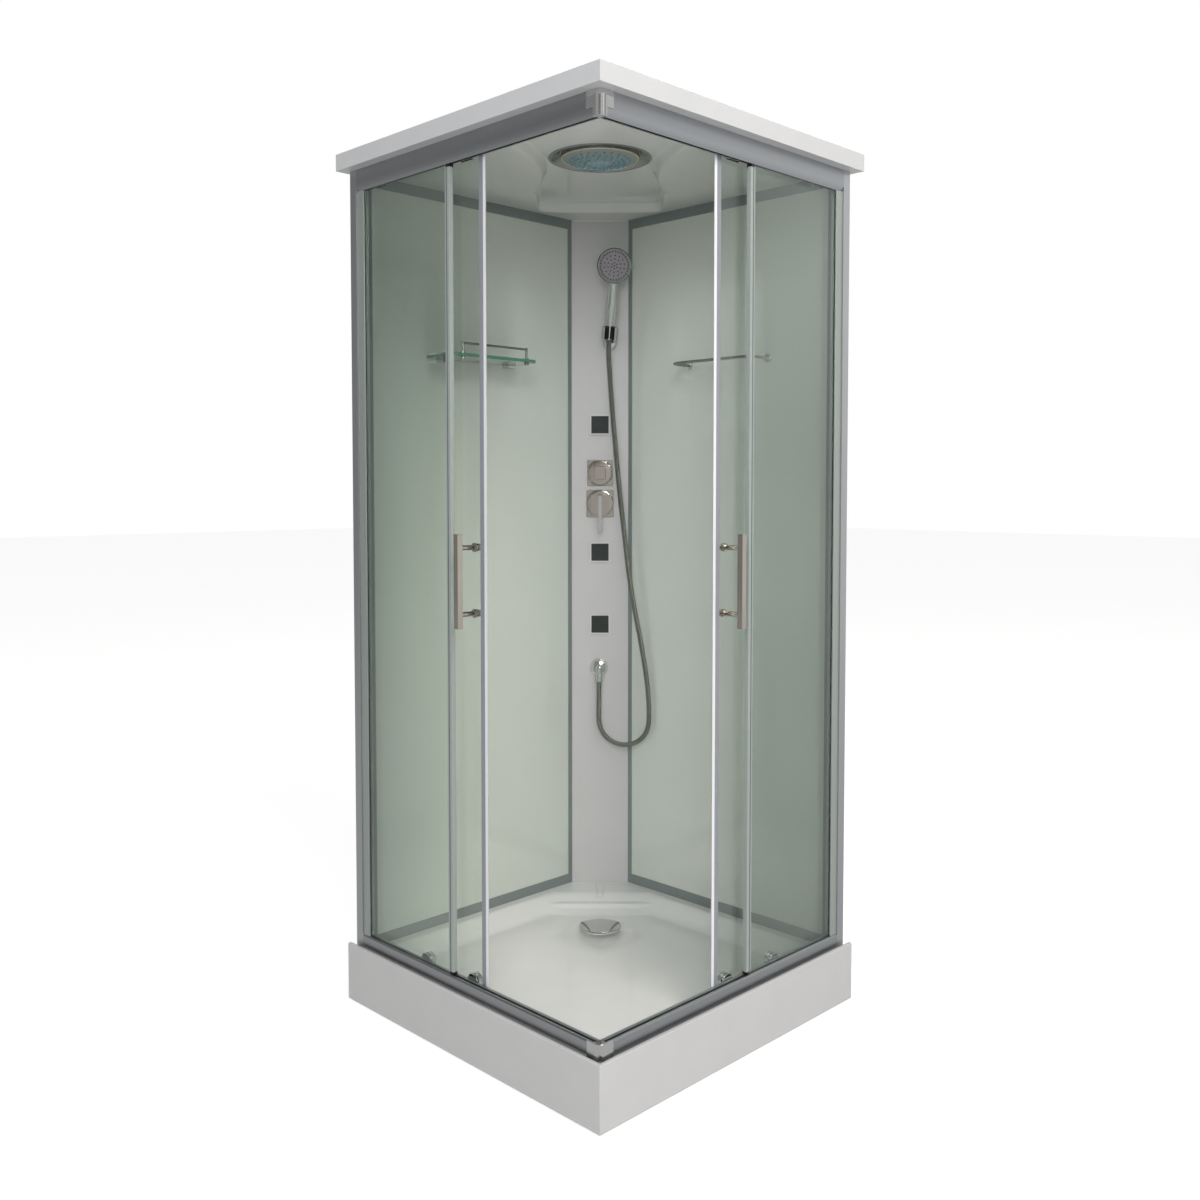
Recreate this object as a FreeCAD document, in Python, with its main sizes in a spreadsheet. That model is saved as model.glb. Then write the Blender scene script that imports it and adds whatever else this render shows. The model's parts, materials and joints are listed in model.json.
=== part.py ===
import FreeCAD, Part
import math
import os
import Sketcher
from FreeCAD import Placement, Rotation, Vector

# Corner-entry shower cabin, 900 x 900 mm on plan. +Z is up and the origin is on the floor under
# the middle of the tray. The two glazed sides face -Y (left) and +X (right) and meet at the front
# corner (+X, -Y); the two back panels stand at -X and +Y, with the column across their corner.
# The cabin is the same on both sides of the diagonal, so right-hand pieces mirror left-hand ones.

os.makedirs("parts", exist_ok=True)
doc = FreeCAD.newDocument("shower_cabin")
sheet = doc.addObject("Spreadsheet::Sheet", "Dim")

SIZES = {
    # shared clearances
    "fit": 0.3,
    "overrun": 5,
    # shower tray: rim, sloping basin, step by the column
    "tray_side": 900,
    "rim_height": 132,
    "tray_skirt": 60,
    "tray_wall": 5,
    "basin_inset": 70,
    "basin_corner_inset": 97,
    "basin_slope": 45,
    "basin_corner_slope": 73,
    "basin_floor": 98,
    "step_width": 310,
    "step_depth": 50,
    "step_height": 118,
    "groove_width": 19,
    "groove_depth": 3,
    # apron round the two front sides
    "apron_wall": 4,
    "apron_top": 145,
    "apron_floor_gap": 3,
    "apron_lip": 10,
    # support frame and adjustable feet
    "frame_tube": 40,
    "frame_depth": 22,
    "frame_sheet": 2,
    "frame_gap": 3,
    "prop_radius": 30,
    "foot_radius": 20,
    "foot_height": 10,
    "foot_rod": 6,
    "foot_nut": 9,
    "foot_nut_height": 10,
    # waste trap and its lift-out cover
    "drain_inset": 272,
    "drain_hole": 43,
    "trap_radius": 50,
    "trap_floor": 5,
    "trap_height": 60,
    "trap_wall": 3,
    "trap_throat": 42,
    "flange_radius": 54,
    "flange_thick": 2.5,
    "outlet_radius": 20,
    "outlet_bore": 17.5,
    "outlet_height": 25,
    "outlet_length": 200,
    "outlet_neck": 19.5,
    "cover_radius": 55.5,
    "cover_rise": 7,
    "cover_edge": 2,
    "cover_gap": 3,
    "cover_stem": 9,
    "cover_stem_drop": 32,
    "peg_radius": 3,
    "peg_circle": 46,
    # side frames: rails, glass and seals
    "rail_setback": 19,
    "frame_height": 1935,
    "bottom_rail_height": 40,
    "bottom_rail_depth": 21.5,
    "rail_curve_height": 14,
    "rail_curve_depth": 5,
    "rail_chamfer": 3,
    "guide_flange": 4,
    "guide_reach": 46,
    "guide_rib": 3,
    "guide_rib_height": 10,
    "guide_rib_inset": 35,
    "top_rail_height": 52,
    "top_rail_depth": 46,
    "top_rail_wall": 3,
    "top_rail_web": 18,
    "top_curve_height": 20,
    "top_curve_depth": 6,
    "inner_lip_drop": 32,
    "track_level": 23,
    "track_reach": 28,
    "rail_wall_inset": 38,
    "rail_corner_inset": 19,
    "glass_thick": 5,
    "glass_play": 0.8,
    "glass_gap": 13,
    "fixed_glass_inset": 7.5,
    "glass_grip": 22,
    "fixed_pane_inset": 62,
    "fixed_seal": 12,
    "seal_wing": 2.7,
    "seal_lip": 4,
    "stop_width": 8,
    "stop_height": 7,
    # wall posts
    "post_width": 26,
    "post_wall": 1.5,
    "post_step": 3.5,
    # front corner connectors
    "connector_leg": 37,
    "connector_skin": 2,
    "connector_drop": 34,
    "connector_round": 16,
    # sliding doors
    "door_lap": 38,
    "door_wall_inset": 50,
    "magnet_width": 12,
    "door_foot": 18,
    "door_head": 31,
    "seal_grip": 6,
    "trail_seal": 6,
    "bolt_radius": 3.8,
    "bolt_hole": 4,
    "hook_inset": 41,
    "hook_pitch": 172,
    "hook_radius": 17,
    "hook_finger": 10,
    "hook_height": 36,
    "hook_cap": 3,
    "hook_block": 12,
    "hook_clear": 2,
    "hanger_inset": 53,
    "hanger_wall_inset": 60,
    "hanger_width": 40,
    "hanger_thick": 4,
    "hanger_drop": 50,
    "hanger_bolt_drop": 43,
    "hanger_cap": 6,
    "hanger_cap_thick": 2.7,
    "wheel_radius": 9,
    "wheel_width": 6,
    "wheel_bore": 2.55,
    "axle_radius": 2.5,
    "axle_head": 4,
    # door handles
    "handle_inset": 26,
    "handle_bar": 14,
    "handle_reach": 42.5,
    "handle_low": 980,
    "handle_length": 210,
    "handle_pitch": 148,
    "handle_stem": 6,
    "handle_collar": 10,
    "handle_collar_thick": 5,
    "handle_knob": 9,
    "handle_knob_tip": 7,
    "handle_knob_length": 16,
    # back panels and their frames
    "panel_inset": 41,
    "panel_lip": 2,
    "panel_glass": 4,
    "panel_depth": 10,
    "panel_strip": 27,
    "panel_strip_inner": 14,
    "panel_grip": 8,
    # column
    "column_width": 164,
    "column_stand": 0.587,
    "column_sheet": 3,
    "column_return": 33,
    "notch_width": 80,
    "notch_height": 3,
    # ceiling and roof
    "ceiling_drop": 7,
    "ceiling_sheet": 4,
    "skirt_reach": 73,
    "skirt_drop": 5,
    "skirt_thick": 2.5,
    "recess_rise": 22,
    "recess_back_inset": 97,
    "recess_half_width": 168,
    "recess_waist": 136.396,
    "recess_margin": 35,
    "roof_overhang": 8,
    "roof_lip": 40,
    "roof_crown": 43,
    "roof_crown_inset": 150,
    "roof_sheet": 4,
    "roof_flange": 60,
    # overhead shower
    "rose_front": 62,
    "rose_ring": 124,
    "rose_lip": 5,
    "rose_play": 2,
    "rose_dish": 96,
    "rose_dish_rise": 14,
    "rose_sheet": 2,
    "rose_radius": 94,
    "rose_bulge": 14,
    "rose_boss": 12,
    "rose_boss_height": 2,
    # body jets: one above the diverter and two below the mixer
    "jet_drop": 276,
    "jet_gap": 72,
    "lever_gap": 71.5,
    "jet_pitch": 210,
    "jet_side": 60,
    "jet_thick": 6,
    "jet_face": 54,
    "jet_face_depth": 4,
    "jet_stand": 1,
    "jet_neck": 49,
    "jet_neck_length": 16,
    # diverter
    "diverter_side": 74,
    "plate_thick": 5,
    "plate_round": 4,
    "diverter_disc": 34,
    "diverter_disc_thick": 6,
    "diverter_knob_width": 33,
    "diverter_knob_height": 39,
    "diverter_knob_depth": 22,
    "diverter_stem": 8,
    "stem_depth": 16,
    "knob_round": 6,
    # mixer
    "mixer_gap": 12.5,
    "mixer_side": 79,
    "mixer_disc": 31,
    "mixer_disc_thick": 3,
    "mixer_cover": 51,
    "mixer_cover_depth": 20,
    "cartridge_radius": 16,
    "cartridge_depth": 15,
    "lever_width": 10,
    "lever_thick": 8,
    "lever_length": 104,
    "lever_top": 23,
    "lever_ear": 4,
    "lever_pin": 2,
    "running_gap": 0.05,
    # valve body and pipes behind the column
    "valve_stand": 8,
    "mixer_block_width": 100,
    "mixer_block_height": 64,
    "mixer_block_depth": 55,
    "diverter_block": 50,
    "diverter_block_depth": 40,
    "inlet_radius": 10.48,
    "inlet_length": 20,
    "inlet_spread": 76,
    "pipe_radius": 7,
    "pipe_stand": 28,
    "pipe_bend": 14,
    "branch_radius": 5,
    "manifold_offset": 64,
    "branch_offset": 18,
    # hose outlet
    "outlet_offset": 3,
    "outlet_drop": 126,
    "outlet_disc": 25,
    "outlet_disc_thick": 8,
    "elbow_radius": 11,
    "elbow_reach": 29,
    "elbow_drop": 21,
    # hand shower, holder and hose
    "handset_offset": 28.5,
    "handset_drop": 310,
    "handset_stand": 47,
    "handset_tilt": 12,
    "handset_lean": 4,
    "handle_foot": 13,
    "handle_swell": 17,
    "handle_waist": 12.5,
    "handset_handle": 150,
    "handset_head": 170,
    "head_radius": 49,
    "head_forward": 6,
    "head_back": 16,
    "head_front": 8,
    "spray_radius": 41,
    "spray_thick": 5,
    "ring_thick": 6,
    "nub_width": 6,
    "nub_reach": 6,
    "hose_radius": 7,
    "nut_top": 11,
    "nut_foot": 8.5,
    "hose_nut": 36,
    "hose_bore": 4,
    "hose_lead": 36,
    "hose_rise": 60,
    "hose_swing": 140,
    "hose_stand": 75,
    "rib_depth": 0.6,
    "rib_pitch": 7.2,
    "jaw_radius": 20,
    "jaw_bore": 12.5,
    "jaw_height": 34,
    "jaw_slot": 10,
    "sleeve_radius": 23,
    "sleeve_slot": 28,
    "holder_base": 19,
    "holder_base_depth": 18,
    "holder_base_drop": 44,
    "holder_arm": 9,
    "holder_round": 8,
    # corner shelf
    "shelf_drop": 434,
    "shelf_thick": 8,
    "shelf_depth": 112,
    "shelf_front_reach": 218,
    "shelf_back_reach": 67,
    "shelf_round": 25,
    "gallery_setback": 13,
    "gallery_front_reach": 180,
    "gallery_back_reach": 32,
    "gallery_rise": 31,
    "gallery_post": 3.5,
    "gallery_rail": 3,
    "gallery_collar": 6,
    "gallery_nut": 7,
    "gallery_collar_height": 4,
    "bracket_width": 26,
    "bracket_depth": 28,
    "bracket_height": 26,
    "bracket_front_reach": 173,
    "bracket_back_reach": 45,
    # towel bar
    "bar_radius": 4,
    "bar_drop": 433,
    "bar_back_reach": 62,
    "bar_front_reach": 203,
    "bar_reach": 80,
    "bar_bend": 28,
    "rosette_radius": 11,
    "rosette_depth": 8,
    # roof screws
    "screw_pitch": 300,
    "screw_inset": 12,
    "screw_radius": 2,
    "screw_head": 4,
    "screw_head_height": 2.5,
    "screw_length": 12,
}

for row, (alias, number) in enumerate(SIZES.items(), start=1):
    sheet.set(f"A{row}", alias)
    sheet.set(f"B{row}", str(number))
    sheet.setAlias(f"B{row}", alias)
doc.recompute()


class Size:
    """A length written as an expression of the sheet's cells, so that sums of sizes stay live."""

    def __init__(self, text):
        self.text = str(text)

    def __str__(self):
        return self.text

    def __add__(self, other):
        return Size(f"({self} + {other})")

    def __radd__(self, other):
        return Size(f"({other} + {self})")

    def __sub__(self, other):
        return Size(f"({self} - {other})")

    def __rsub__(self, other):
        return Size(f"({other} - {self})")

    def __mul__(self, factor):
        return Size(f"({self} * {factor})")

    def __truediv__(self, divisor):
        return Size(f"({self} / {divisor})")

    def __neg__(self):
        return Size(f"(0 - {self})")

    def __float__(self):
        return float(sheet.evalExpression(self.text))


class Cells:
    """The sheet's cells by name."""

    def __getattr__(self, alias):
        return Size(f"Dim.{alias}")


dim = Cells()
ROOT_TWO = math.sqrt(2)
UP = Vector(0, 0, 1)
nodes = {}


def bind(piece, **sizes):
    """Tie properties of an object to sizes."""
    for name, size in sizes.items():
        piece.setExpression(name, str(size))
    return piece


def place(piece, x=0, y=0, z=0, rotation=None):
    """Turn an object and move it to a place given in sizes."""
    if rotation is not None:
        piece.Placement = Placement(Vector(), rotation)
    for axis, size in zip("xyz", (x, y, z)):
        piece.setExpression(f"Placement.Base.{axis}", str(size))
    return piece


def block(name, x, y, z):
    """A box between two places along each axis."""
    piece = doc.addObject("Part::Box", name)
    for side, axis, (low, high) in zip(("Length", "Width", "Height"), "xyz", (x, y, z)):
        piece.setExpression(side, str(high - low))
        piece.setExpression(f"Placement.Base.{axis}", str(low))
    return piece


TURNS = {
    "x": Rotation(Vector(0, 1, 0), 90),
    "y": Rotation(Vector(1, 0, 0), -90),
    "z": Rotation(),
}


def rod(name, radius, start, length, along="z"):
    """A cylinder from a start point along one axis."""
    piece = doc.addObject("Part::Cylinder", name)
    bind(piece, Radius=radius, Height=length)
    return place(piece, *start, rotation=TURNS[along])


def cone(name, foot, top, length):
    """A cone standing on the origin."""
    piece = doc.addObject("Part::Cone", name)
    return bind(piece, Radius1=foot, Radius2=top, Height=length)


def arc_centre(start, end, radius):
    """Centre of the arc of that radius; a positive radius turns anticlockwise."""
    chord = end - start
    reach = math.sqrt(max(radius ** 2 - (chord.Length / 2) ** 2, 0))
    side = Vector(-chord.y, chord.x, 0).normalize()
    return start + chord / 2 + side * (reach if radius > 0 else -reach)


def outline(body, name, role, points, lift):
    """A closed sketch on one of the body's own planes.

    Each point is (u, v), or (u, v, radius) where an arc leads to it from the point before.
    """
    sketch = body.newObject("Sketcher::SketchObject", name)
    plane = next(item for item in body.Origin.OriginFeatures if item.Role == role)
    sketch.AttachmentSupport = [(plane, "")]
    sketch.MapMode = "FlatFace"
    sketch.setExpression("AttachmentOffset.Base.z", str(lift))
    spots = [Vector(float(point[0]), float(point[1]), 0) for point in points]
    ends = []
    for index, spot in enumerate(spots):
        after = (index + 1) % len(points)
        if len(points[after]) == 2:
            sketch.addGeometry(Part.LineSegment(spot, spots[after]))
            ends.append((1, 2))
            continue
        radius = float(points[after][2])
        middle = arc_centre(spot, spots[after], radius)
        circle = Part.Circle(middle, UP, abs(radius))
        first, last = (spot, spots[after]) if radius > 0 else (spots[after], spot)
        arc = Part.ArcOfCircle(circle, circle.parameter(first), circle.parameter(last))
        sketch.addGeometry(arc)
        ends.append((1, 2) if radius > 0 else (2, 1))
    for index in range(len(points)):
        after = (index + 1) % len(points)
        joint = Sketcher.Constraint("Coincident", index, ends[index][1], after, ends[after][0])
        sketch.addConstraint(joint)
    for index, point in enumerate(points):
        for kind, size in zip(("DistanceX", "DistanceY"), point):
            rule = Sketcher.Constraint(kind, -1, 1, index, ends[index][0], float(size))
            number = sketch.addConstraint(rule)
            sketch.setExpression(f"Constraints[{number}]", str(size))
        if len(point) == 3:
            before = (index - 1) % len(points)
            rule = Sketcher.Constraint("Radius", before, abs(float(point[2])))
            number = sketch.addConstraint(rule)
            sketch.setExpression(f"Constraints[{number}]", f"abs({point[2]})")
    return sketch


def prism(name, role, points, start, stop):
    """An outline carried from start to stop, square to its plane."""
    body = doc.addObject("PartDesign::Body", name)
    lift = -stop if role == "XZ_Plane" else start
    pad = body.newObject("PartDesign::Pad", f"{name}_pad")
    pad.Profile = outline(body, f"{name}_outline", role, points, lift)
    bind(pad, Length=stop - start)
    return body


def turned(name, points):
    """An outline of (radius, height) points turned about the vertical axis."""
    body = doc.addObject("PartDesign::Body", name)
    sketch = outline(body, f"{name}_outline", "XZ_Plane", points, 0)
    turn = body.newObject("PartDesign::Revolution", f"{name}_turn")
    turn.Profile = sketch
    turn.ReferenceAxis = (sketch, ["V_Axis"])
    turn.Angle = 360
    return body


def frustum(name, low_points, low, high_points, high):
    """A straight-sided loft between two level outlines."""
    body = doc.addObject("PartDesign::Body", name)
    foot = outline(body, f"{name}_foot", "XY_Plane", low_points, low)
    head = outline(body, f"{name}_head", "XY_Plane", high_points, high)
    loft = body.newObject("PartDesign::AdditiveLoft", f"{name}_loft")
    loft.Profile = foot
    loft.Sections = [head]
    loft.Ruled = True
    return body


def rounded(body, radius, chosen):
    """Round the edges of a body that the rule picks."""
    doc.recompute()
    tip = body.Tip
    names = [f"Edge{k}" for k, edge in enumerate(tip.Shape.Edges, start=1) if chosen(edge)]
    fillet = body.newObject("PartDesign::Fillet", f"{body.Name}_round")
    fillet.Base = (tip, names)
    bind(fillet, Radius=radius)
    return body


def upright(edge):
    """True for a straight vertical edge."""
    low, high = edge.BoundBox.ZMin, edge.BoundBox.ZMax
    return edge.BoundBox.XLength + edge.BoundBox.YLength < (high - low) / 1000


def fuse(name, *pieces):
    """Pieces joined into one solid."""
    joined = doc.addObject("Part::MultiFuse", name)
    joined.Shapes = list(pieces)
    joined.Refine = True
    return joined


def cut(name, base, *tools):
    """A piece with other shapes taken out of it."""
    result = doc.addObject("Part::Cut", name)
    result.Base = base
    result.Tool = tools[0] if len(tools) == 1 else fuse(f"{name}_tools", *tools)
    return result


def common(name, first, second):
    """What two shapes share."""
    result = doc.addObject("Part::Common", name)
    result.Base = first
    result.Tool = second
    return result


def group(name, *pieces):
    """Separate solids kept as one object."""
    result = doc.addObject("Part::Compound", name)
    result.Links = list(pieces)
    return result


def mirrored(name, source):
    """The same piece on the other side of the cabin's diagonal."""
    twin = doc.addObject("Part::Mirroring", name)
    twin.Source = source
    twin.Base = (0, 0, 0)
    twin.Normal = (1, 1, 0)
    return twin


def on_diagonal(name, *pieces):
    """Pieces drawn with X across and Y towards the back corner, turned into place."""
    result = group(name, *pieces)
    result.Placement = Placement(Vector(), Rotation(UP, 45))
    return result


def node(name, piece):
    """Name a finished sub-part."""
    piece.Label = name
    nodes[name] = piece
    return piece


def pair(name, left):
    """A left-hand sub-part and its right-hand twin."""
    node(f"{name}_left", left)
    node(f"{name}_right", mirrored(f"{name}_twin", left))


# Levels and planes that several pieces share
half = dim.tray_side / 2
rim = dim.rim_height
frame_top = rim + dim.frame_height
rail_out = half - dim.rail_setback
rail_low_top = rim + dim.bottom_rail_height
rail_high = frame_top - dim.top_rail_height
rail_in = rail_out - dim.bottom_rail_depth
top_rail_in = rail_out - dim.top_rail_depth
fixed_out = rail_out - dim.fixed_glass_inset
fixed_in = fixed_out - dim.glass_thick
door_out = fixed_in - dim.glass_gap
door_in = door_out - dim.glass_thick
door_mid = (door_out + door_in) / 2
door_wing_out = door_out + dim.seal_wing
door_wing_in = door_in - dim.seal_wing
door_low = rim + dim.door_foot
door_high = frame_top - dim.door_head
front_edge = half - dim.apron_wall - dim.fit
rail_start = half - dim.rail_wall_inset
rail_end = rail_out - dim.rail_corner_inset
door_lead = dim.door_lap
door_trail = half - dim.door_wall_inset
travel = door_mid - door_lead - dim.magnet_width
hook_places = (door_lead - dim.hook_inset, door_lead - dim.hook_inset - dim.hook_pitch)
hanger_places = (door_lead - dim.hanger_inset, dim.hanger_wall_inset - door_trail)
handle_x = door_lead - dim.handle_inset
panel_face = half - dim.panel_inset
column_back = panel_face * ROOT_TWO - dim.column_width / 2 + dim.column_stand
basin_reach = half - dim.basin_inset
basin_corner = column_back - dim.basin_corner_inset
drain_x = (dim.drain_inset - column_back) / ROOT_TWO
drain_y = (column_back - dim.drain_inset) / ROOT_TWO
ceiling_level = frame_top - dim.ceiling_drop
handset_level = ceiling_level - dim.handset_drop
jet_top = handset_level - dim.jet_drop
diverter_level = jet_top - dim.jet_side / 2 - dim.jet_gap - dim.diverter_side / 2
mixer_level = diverter_level - dim.diverter_side / 2 - dim.mixer_gap - dim.mixer_side / 2
jet_middle = mixer_level - dim.mixer_side / 2 - dim.lever_gap - dim.jet_side / 2
jet_low = jet_middle - dim.jet_pitch
outlet_level = jet_low - dim.outlet_drop
recess_arc = half * ROOT_TWO - dim.recess_waist


def five_sided(front, back, corner):
    """A square outline with its back corner cut off at a distance along the diagonal."""
    run = corner * ROOT_TWO - back
    return [(-back, -front), (front, -front), (front, back), (-run, back), (-back, run)]


def make_tray():
    """Acrylic tray: rim, skirt, sloping basin, step, water groove and drain hole."""
    wall = dim.tray_wall
    edge = front_edge
    skirt_foot = rim - dim.tray_skirt
    outer = block("tray_outer", (-half, edge), (-edge, half), (skirt_foot, rim))
    hollow = block("tray_hollow", (-half + wall, edge - wall), (wall - edge, half - wall),
                   (skirt_foot - dim.overrun, rim - wall))
    skirt = cut("tray_skirt_shell", outer, hollow)
    low_reach = basin_reach - dim.basin_slope
    low_corner = basin_corner - dim.basin_corner_slope
    bowl = frustum("tray_bowl",
                   five_sided(low_reach + wall, low_reach + wall, low_corner + wall),
                   dim.basin_floor - wall,
                   five_sided(basin_reach + wall, basin_reach + wall, basin_corner + wall), rim)
    basin = frustum("tray_basin", five_sided(low_reach, low_reach, low_corner), dim.basin_floor,
                    five_sided(basin_reach, basin_reach, basin_corner), rim)
    hole = rod("tray_hole", dim.drain_hole, (drain_x, drain_y, dim.basin_floor - wall - wall),
               wall * 3)
    groove = block("tray_groove", (-dim.groove_width / 2, dim.groove_width / 2),
                   (basin_corner - dim.overrun, column_back),
                   (rim - dim.groove_depth, rim + dim.overrun))
    step = block("tray_step", (-dim.step_width / 2, dim.step_width / 2),
                 (basin_corner - dim.step_depth, basin_corner),
                 (dim.basin_floor - wall, dim.step_height))
    shell = cut("tray_shell", fuse("tray_body", skirt, bowl), basin)
    stepped = fuse("tray_stepped", shell, on_diagonal("tray_step_turned", step))
    node("shower_tray",
         cut("tray", stepped, hole, on_diagonal("tray_groove_turned", groove)))


def make_apron():
    """White panel that wraps the two front sides, with a folded lip along its top."""

    def angle(inner):
        return [(-half, -half), (half, -half), (half, half), (inner, half), (inner, -inner),
                (-half, -inner)]

    wall = prism("apron_wall_panel", "XY_Plane", angle(half - dim.apron_wall),
                 dim.apron_floor_gap, dim.apron_top)
    lip = prism("apron_lip_panel", "XY_Plane", angle(half - dim.apron_lip),
                dim.apron_top - dim.apron_wall, dim.apron_top)
    node("tray_apron", fuse("apron", wall, lip))


def make_support():
    """Folded steel frame under the tray and its five adjustable feet."""
    out = front_edge - dim.frame_gap
    inner = out - dim.frame_tube
    sheet_in = out - dim.frame_sheet
    sheet_out = inner + dim.frame_sheet
    top = rim - dim.tray_skirt
    foot = top - dim.frame_depth
    half_tube = dim.frame_tube / 2
    overrun = dim.overrun

    def ring(name, wide, narrow, low, high):
        return cut(name, block(f"{name}_a", (-wide, wide), (-wide, wide), (low, high)),
                   block(f"{name}_b", (-narrow, narrow), (-narrow, narrow),
                         (low - overrun, high + overrun)))

    rail = ring("support_ring", out, inner, foot, top)
    bar = block("support_bar", (-inner - dim.frame_sheet, inner + dim.frame_sheet),
                (-half_tube, half_tube), (foot, top))
    prop = rod("support_prop", dim.prop_radius, (0, 0, top),
               dim.basin_floor - dim.tray_wall - dim.fit - top)
    channel = ring("support_channel", sheet_in, sheet_out, foot - overrun, top - dim.frame_sheet)
    bar_channel = block("support_bar_channel", (-sheet_in, sheet_in),
                        (dim.frame_sheet - half_tube, half_tube - dim.frame_sheet),
                        (foot - overrun, top - dim.frame_sheet))
    node("tray_frame", cut("support", fuse("support_solid", rail, bar, prop), channel, bar_channel))
    seat = top - dim.frame_sheet
    centre = out - half_tube
    spots = ((0, 0), (-centre, -centre), (centre, -centre), (centre, centre), (-centre, centre))
    feet = []
    for number, (x, y) in enumerate(spots, start=1):
        foot_piece = turned(f"foot_{number}", [
            (0, 0), (dim.foot_radius, 0), (dim.foot_radius, dim.foot_height / 2),
            (dim.foot_nut, dim.foot_height), (dim.foot_rod, dim.foot_height),
            (dim.foot_rod, foot - dim.foot_nut_height), (dim.foot_nut, foot - dim.foot_nut_height),
            (dim.foot_nut, foot), (dim.foot_rod, foot), (dim.foot_rod, seat), (0, seat)])
        feet.append(place(foot_piece, x, y))
    node("tray_feet", group("feet", *feet))


def make_waste():
    """Trap hung in the drain hole, its outlet pipe, and the domed cover that lifts out."""
    wall = dim.trap_wall
    seat = dim.basin_floor + dim.fit
    flange = seat + dim.flange_thick
    throat = dim.trap_throat
    cup = turned("trap_cup", [
        (0, dim.trap_floor), (dim.trap_radius, dim.trap_floor), (dim.trap_radius, dim.trap_height),
        (throat, dim.trap_height), (throat, seat), (dim.flange_radius, seat),
        (dim.flange_radius, flange), (throat - wall, flange),
        (throat - wall, dim.trap_height - wall), (dim.trap_radius - wall, dim.trap_height - wall),
        (dim.trap_radius - wall, dim.trap_floor + wall), (0, dim.trap_floor + wall)])
    place(cup, drain_x, drain_y)
    mouth = (-half, drain_y, dim.outlet_height)
    pipe = rod("trap_pipe", dim.outlet_radius, mouth, dim.outlet_length, "x")
    neck = rod("trap_neck", dim.outlet_neck, mouth,
               half + drain_x - dim.trap_radius + wall, "x")
    bore = rod("trap_bore", dim.outlet_bore,
               (-half - dim.overrun, drain_y, dim.outlet_height),
               half + dim.overrun + drain_x - dim.trap_radius + wall * 2, "x")
    node("waste_trap", cut("trap", fuse("trap_solid", cup, pipe, neck), bore))
    under = flange + dim.cover_gap
    crown = under + dim.cover_edge + dim.cover_rise
    bulge = (dim.cover_radius * dim.cover_radius + dim.cover_rise * dim.cover_rise)
    dome = turned("cover_dome", [
        (0, flange - dim.cover_stem_drop), (dim.cover_stem, flange - dim.cover_stem_drop),
        (dim.cover_stem, under), (dim.cover_radius, under),
        (dim.cover_radius, under + dim.cover_edge), (0, crown, bulge / dim.cover_rise / 2)])
    place(dome, drain_x, drain_y)
    pegs = []
    for number in range(3):
        turn = math.radians(120 * number + 90)
        spot = (drain_x + dim.peg_circle * round(math.cos(turn), 6),
                drain_y + dim.peg_circle * round(math.sin(turn), 6), flange + dim.fit)
        pegs.append(rod(f"cover_peg_{number + 1}", dim.peg_radius, spot,
                        dim.cover_gap - dim.fit + dim.cover_edge / 2))
    node("drain_cover", fuse("cover", dome, *pegs))


def mitre(name):
    """Everything beyond the cabin's diagonal at the front corner, as a cutter."""
    near = half / 2
    far = half + dim.overrun * 10
    gap = dim.fit / 2
    return prism(name, "XY_Plane", [(near - gap, -near), (far - gap, -far), (far + gap, -near)],
                 0, frame_top + dim.overrun)


def roof_screw_holes(name, radius):
    """The screw line through the roof flange and the top rail."""
    line = rail_out - dim.screw_inset
    return [rod(f"{name}_{number}", radius,
                (dim.screw_pitch * number, -line, frame_top - dim.screw_length), dim.screw_length * 2)
            for number in (-1, 0, 1)]


def rail_step(name):
    """The corner of a rail that gives way to the panel frame beside it, as a cutter."""
    return block(name, (-half, dim.fit - panel_face), (-rail_in, 0), (0, frame_top + dim.overrun))


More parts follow.
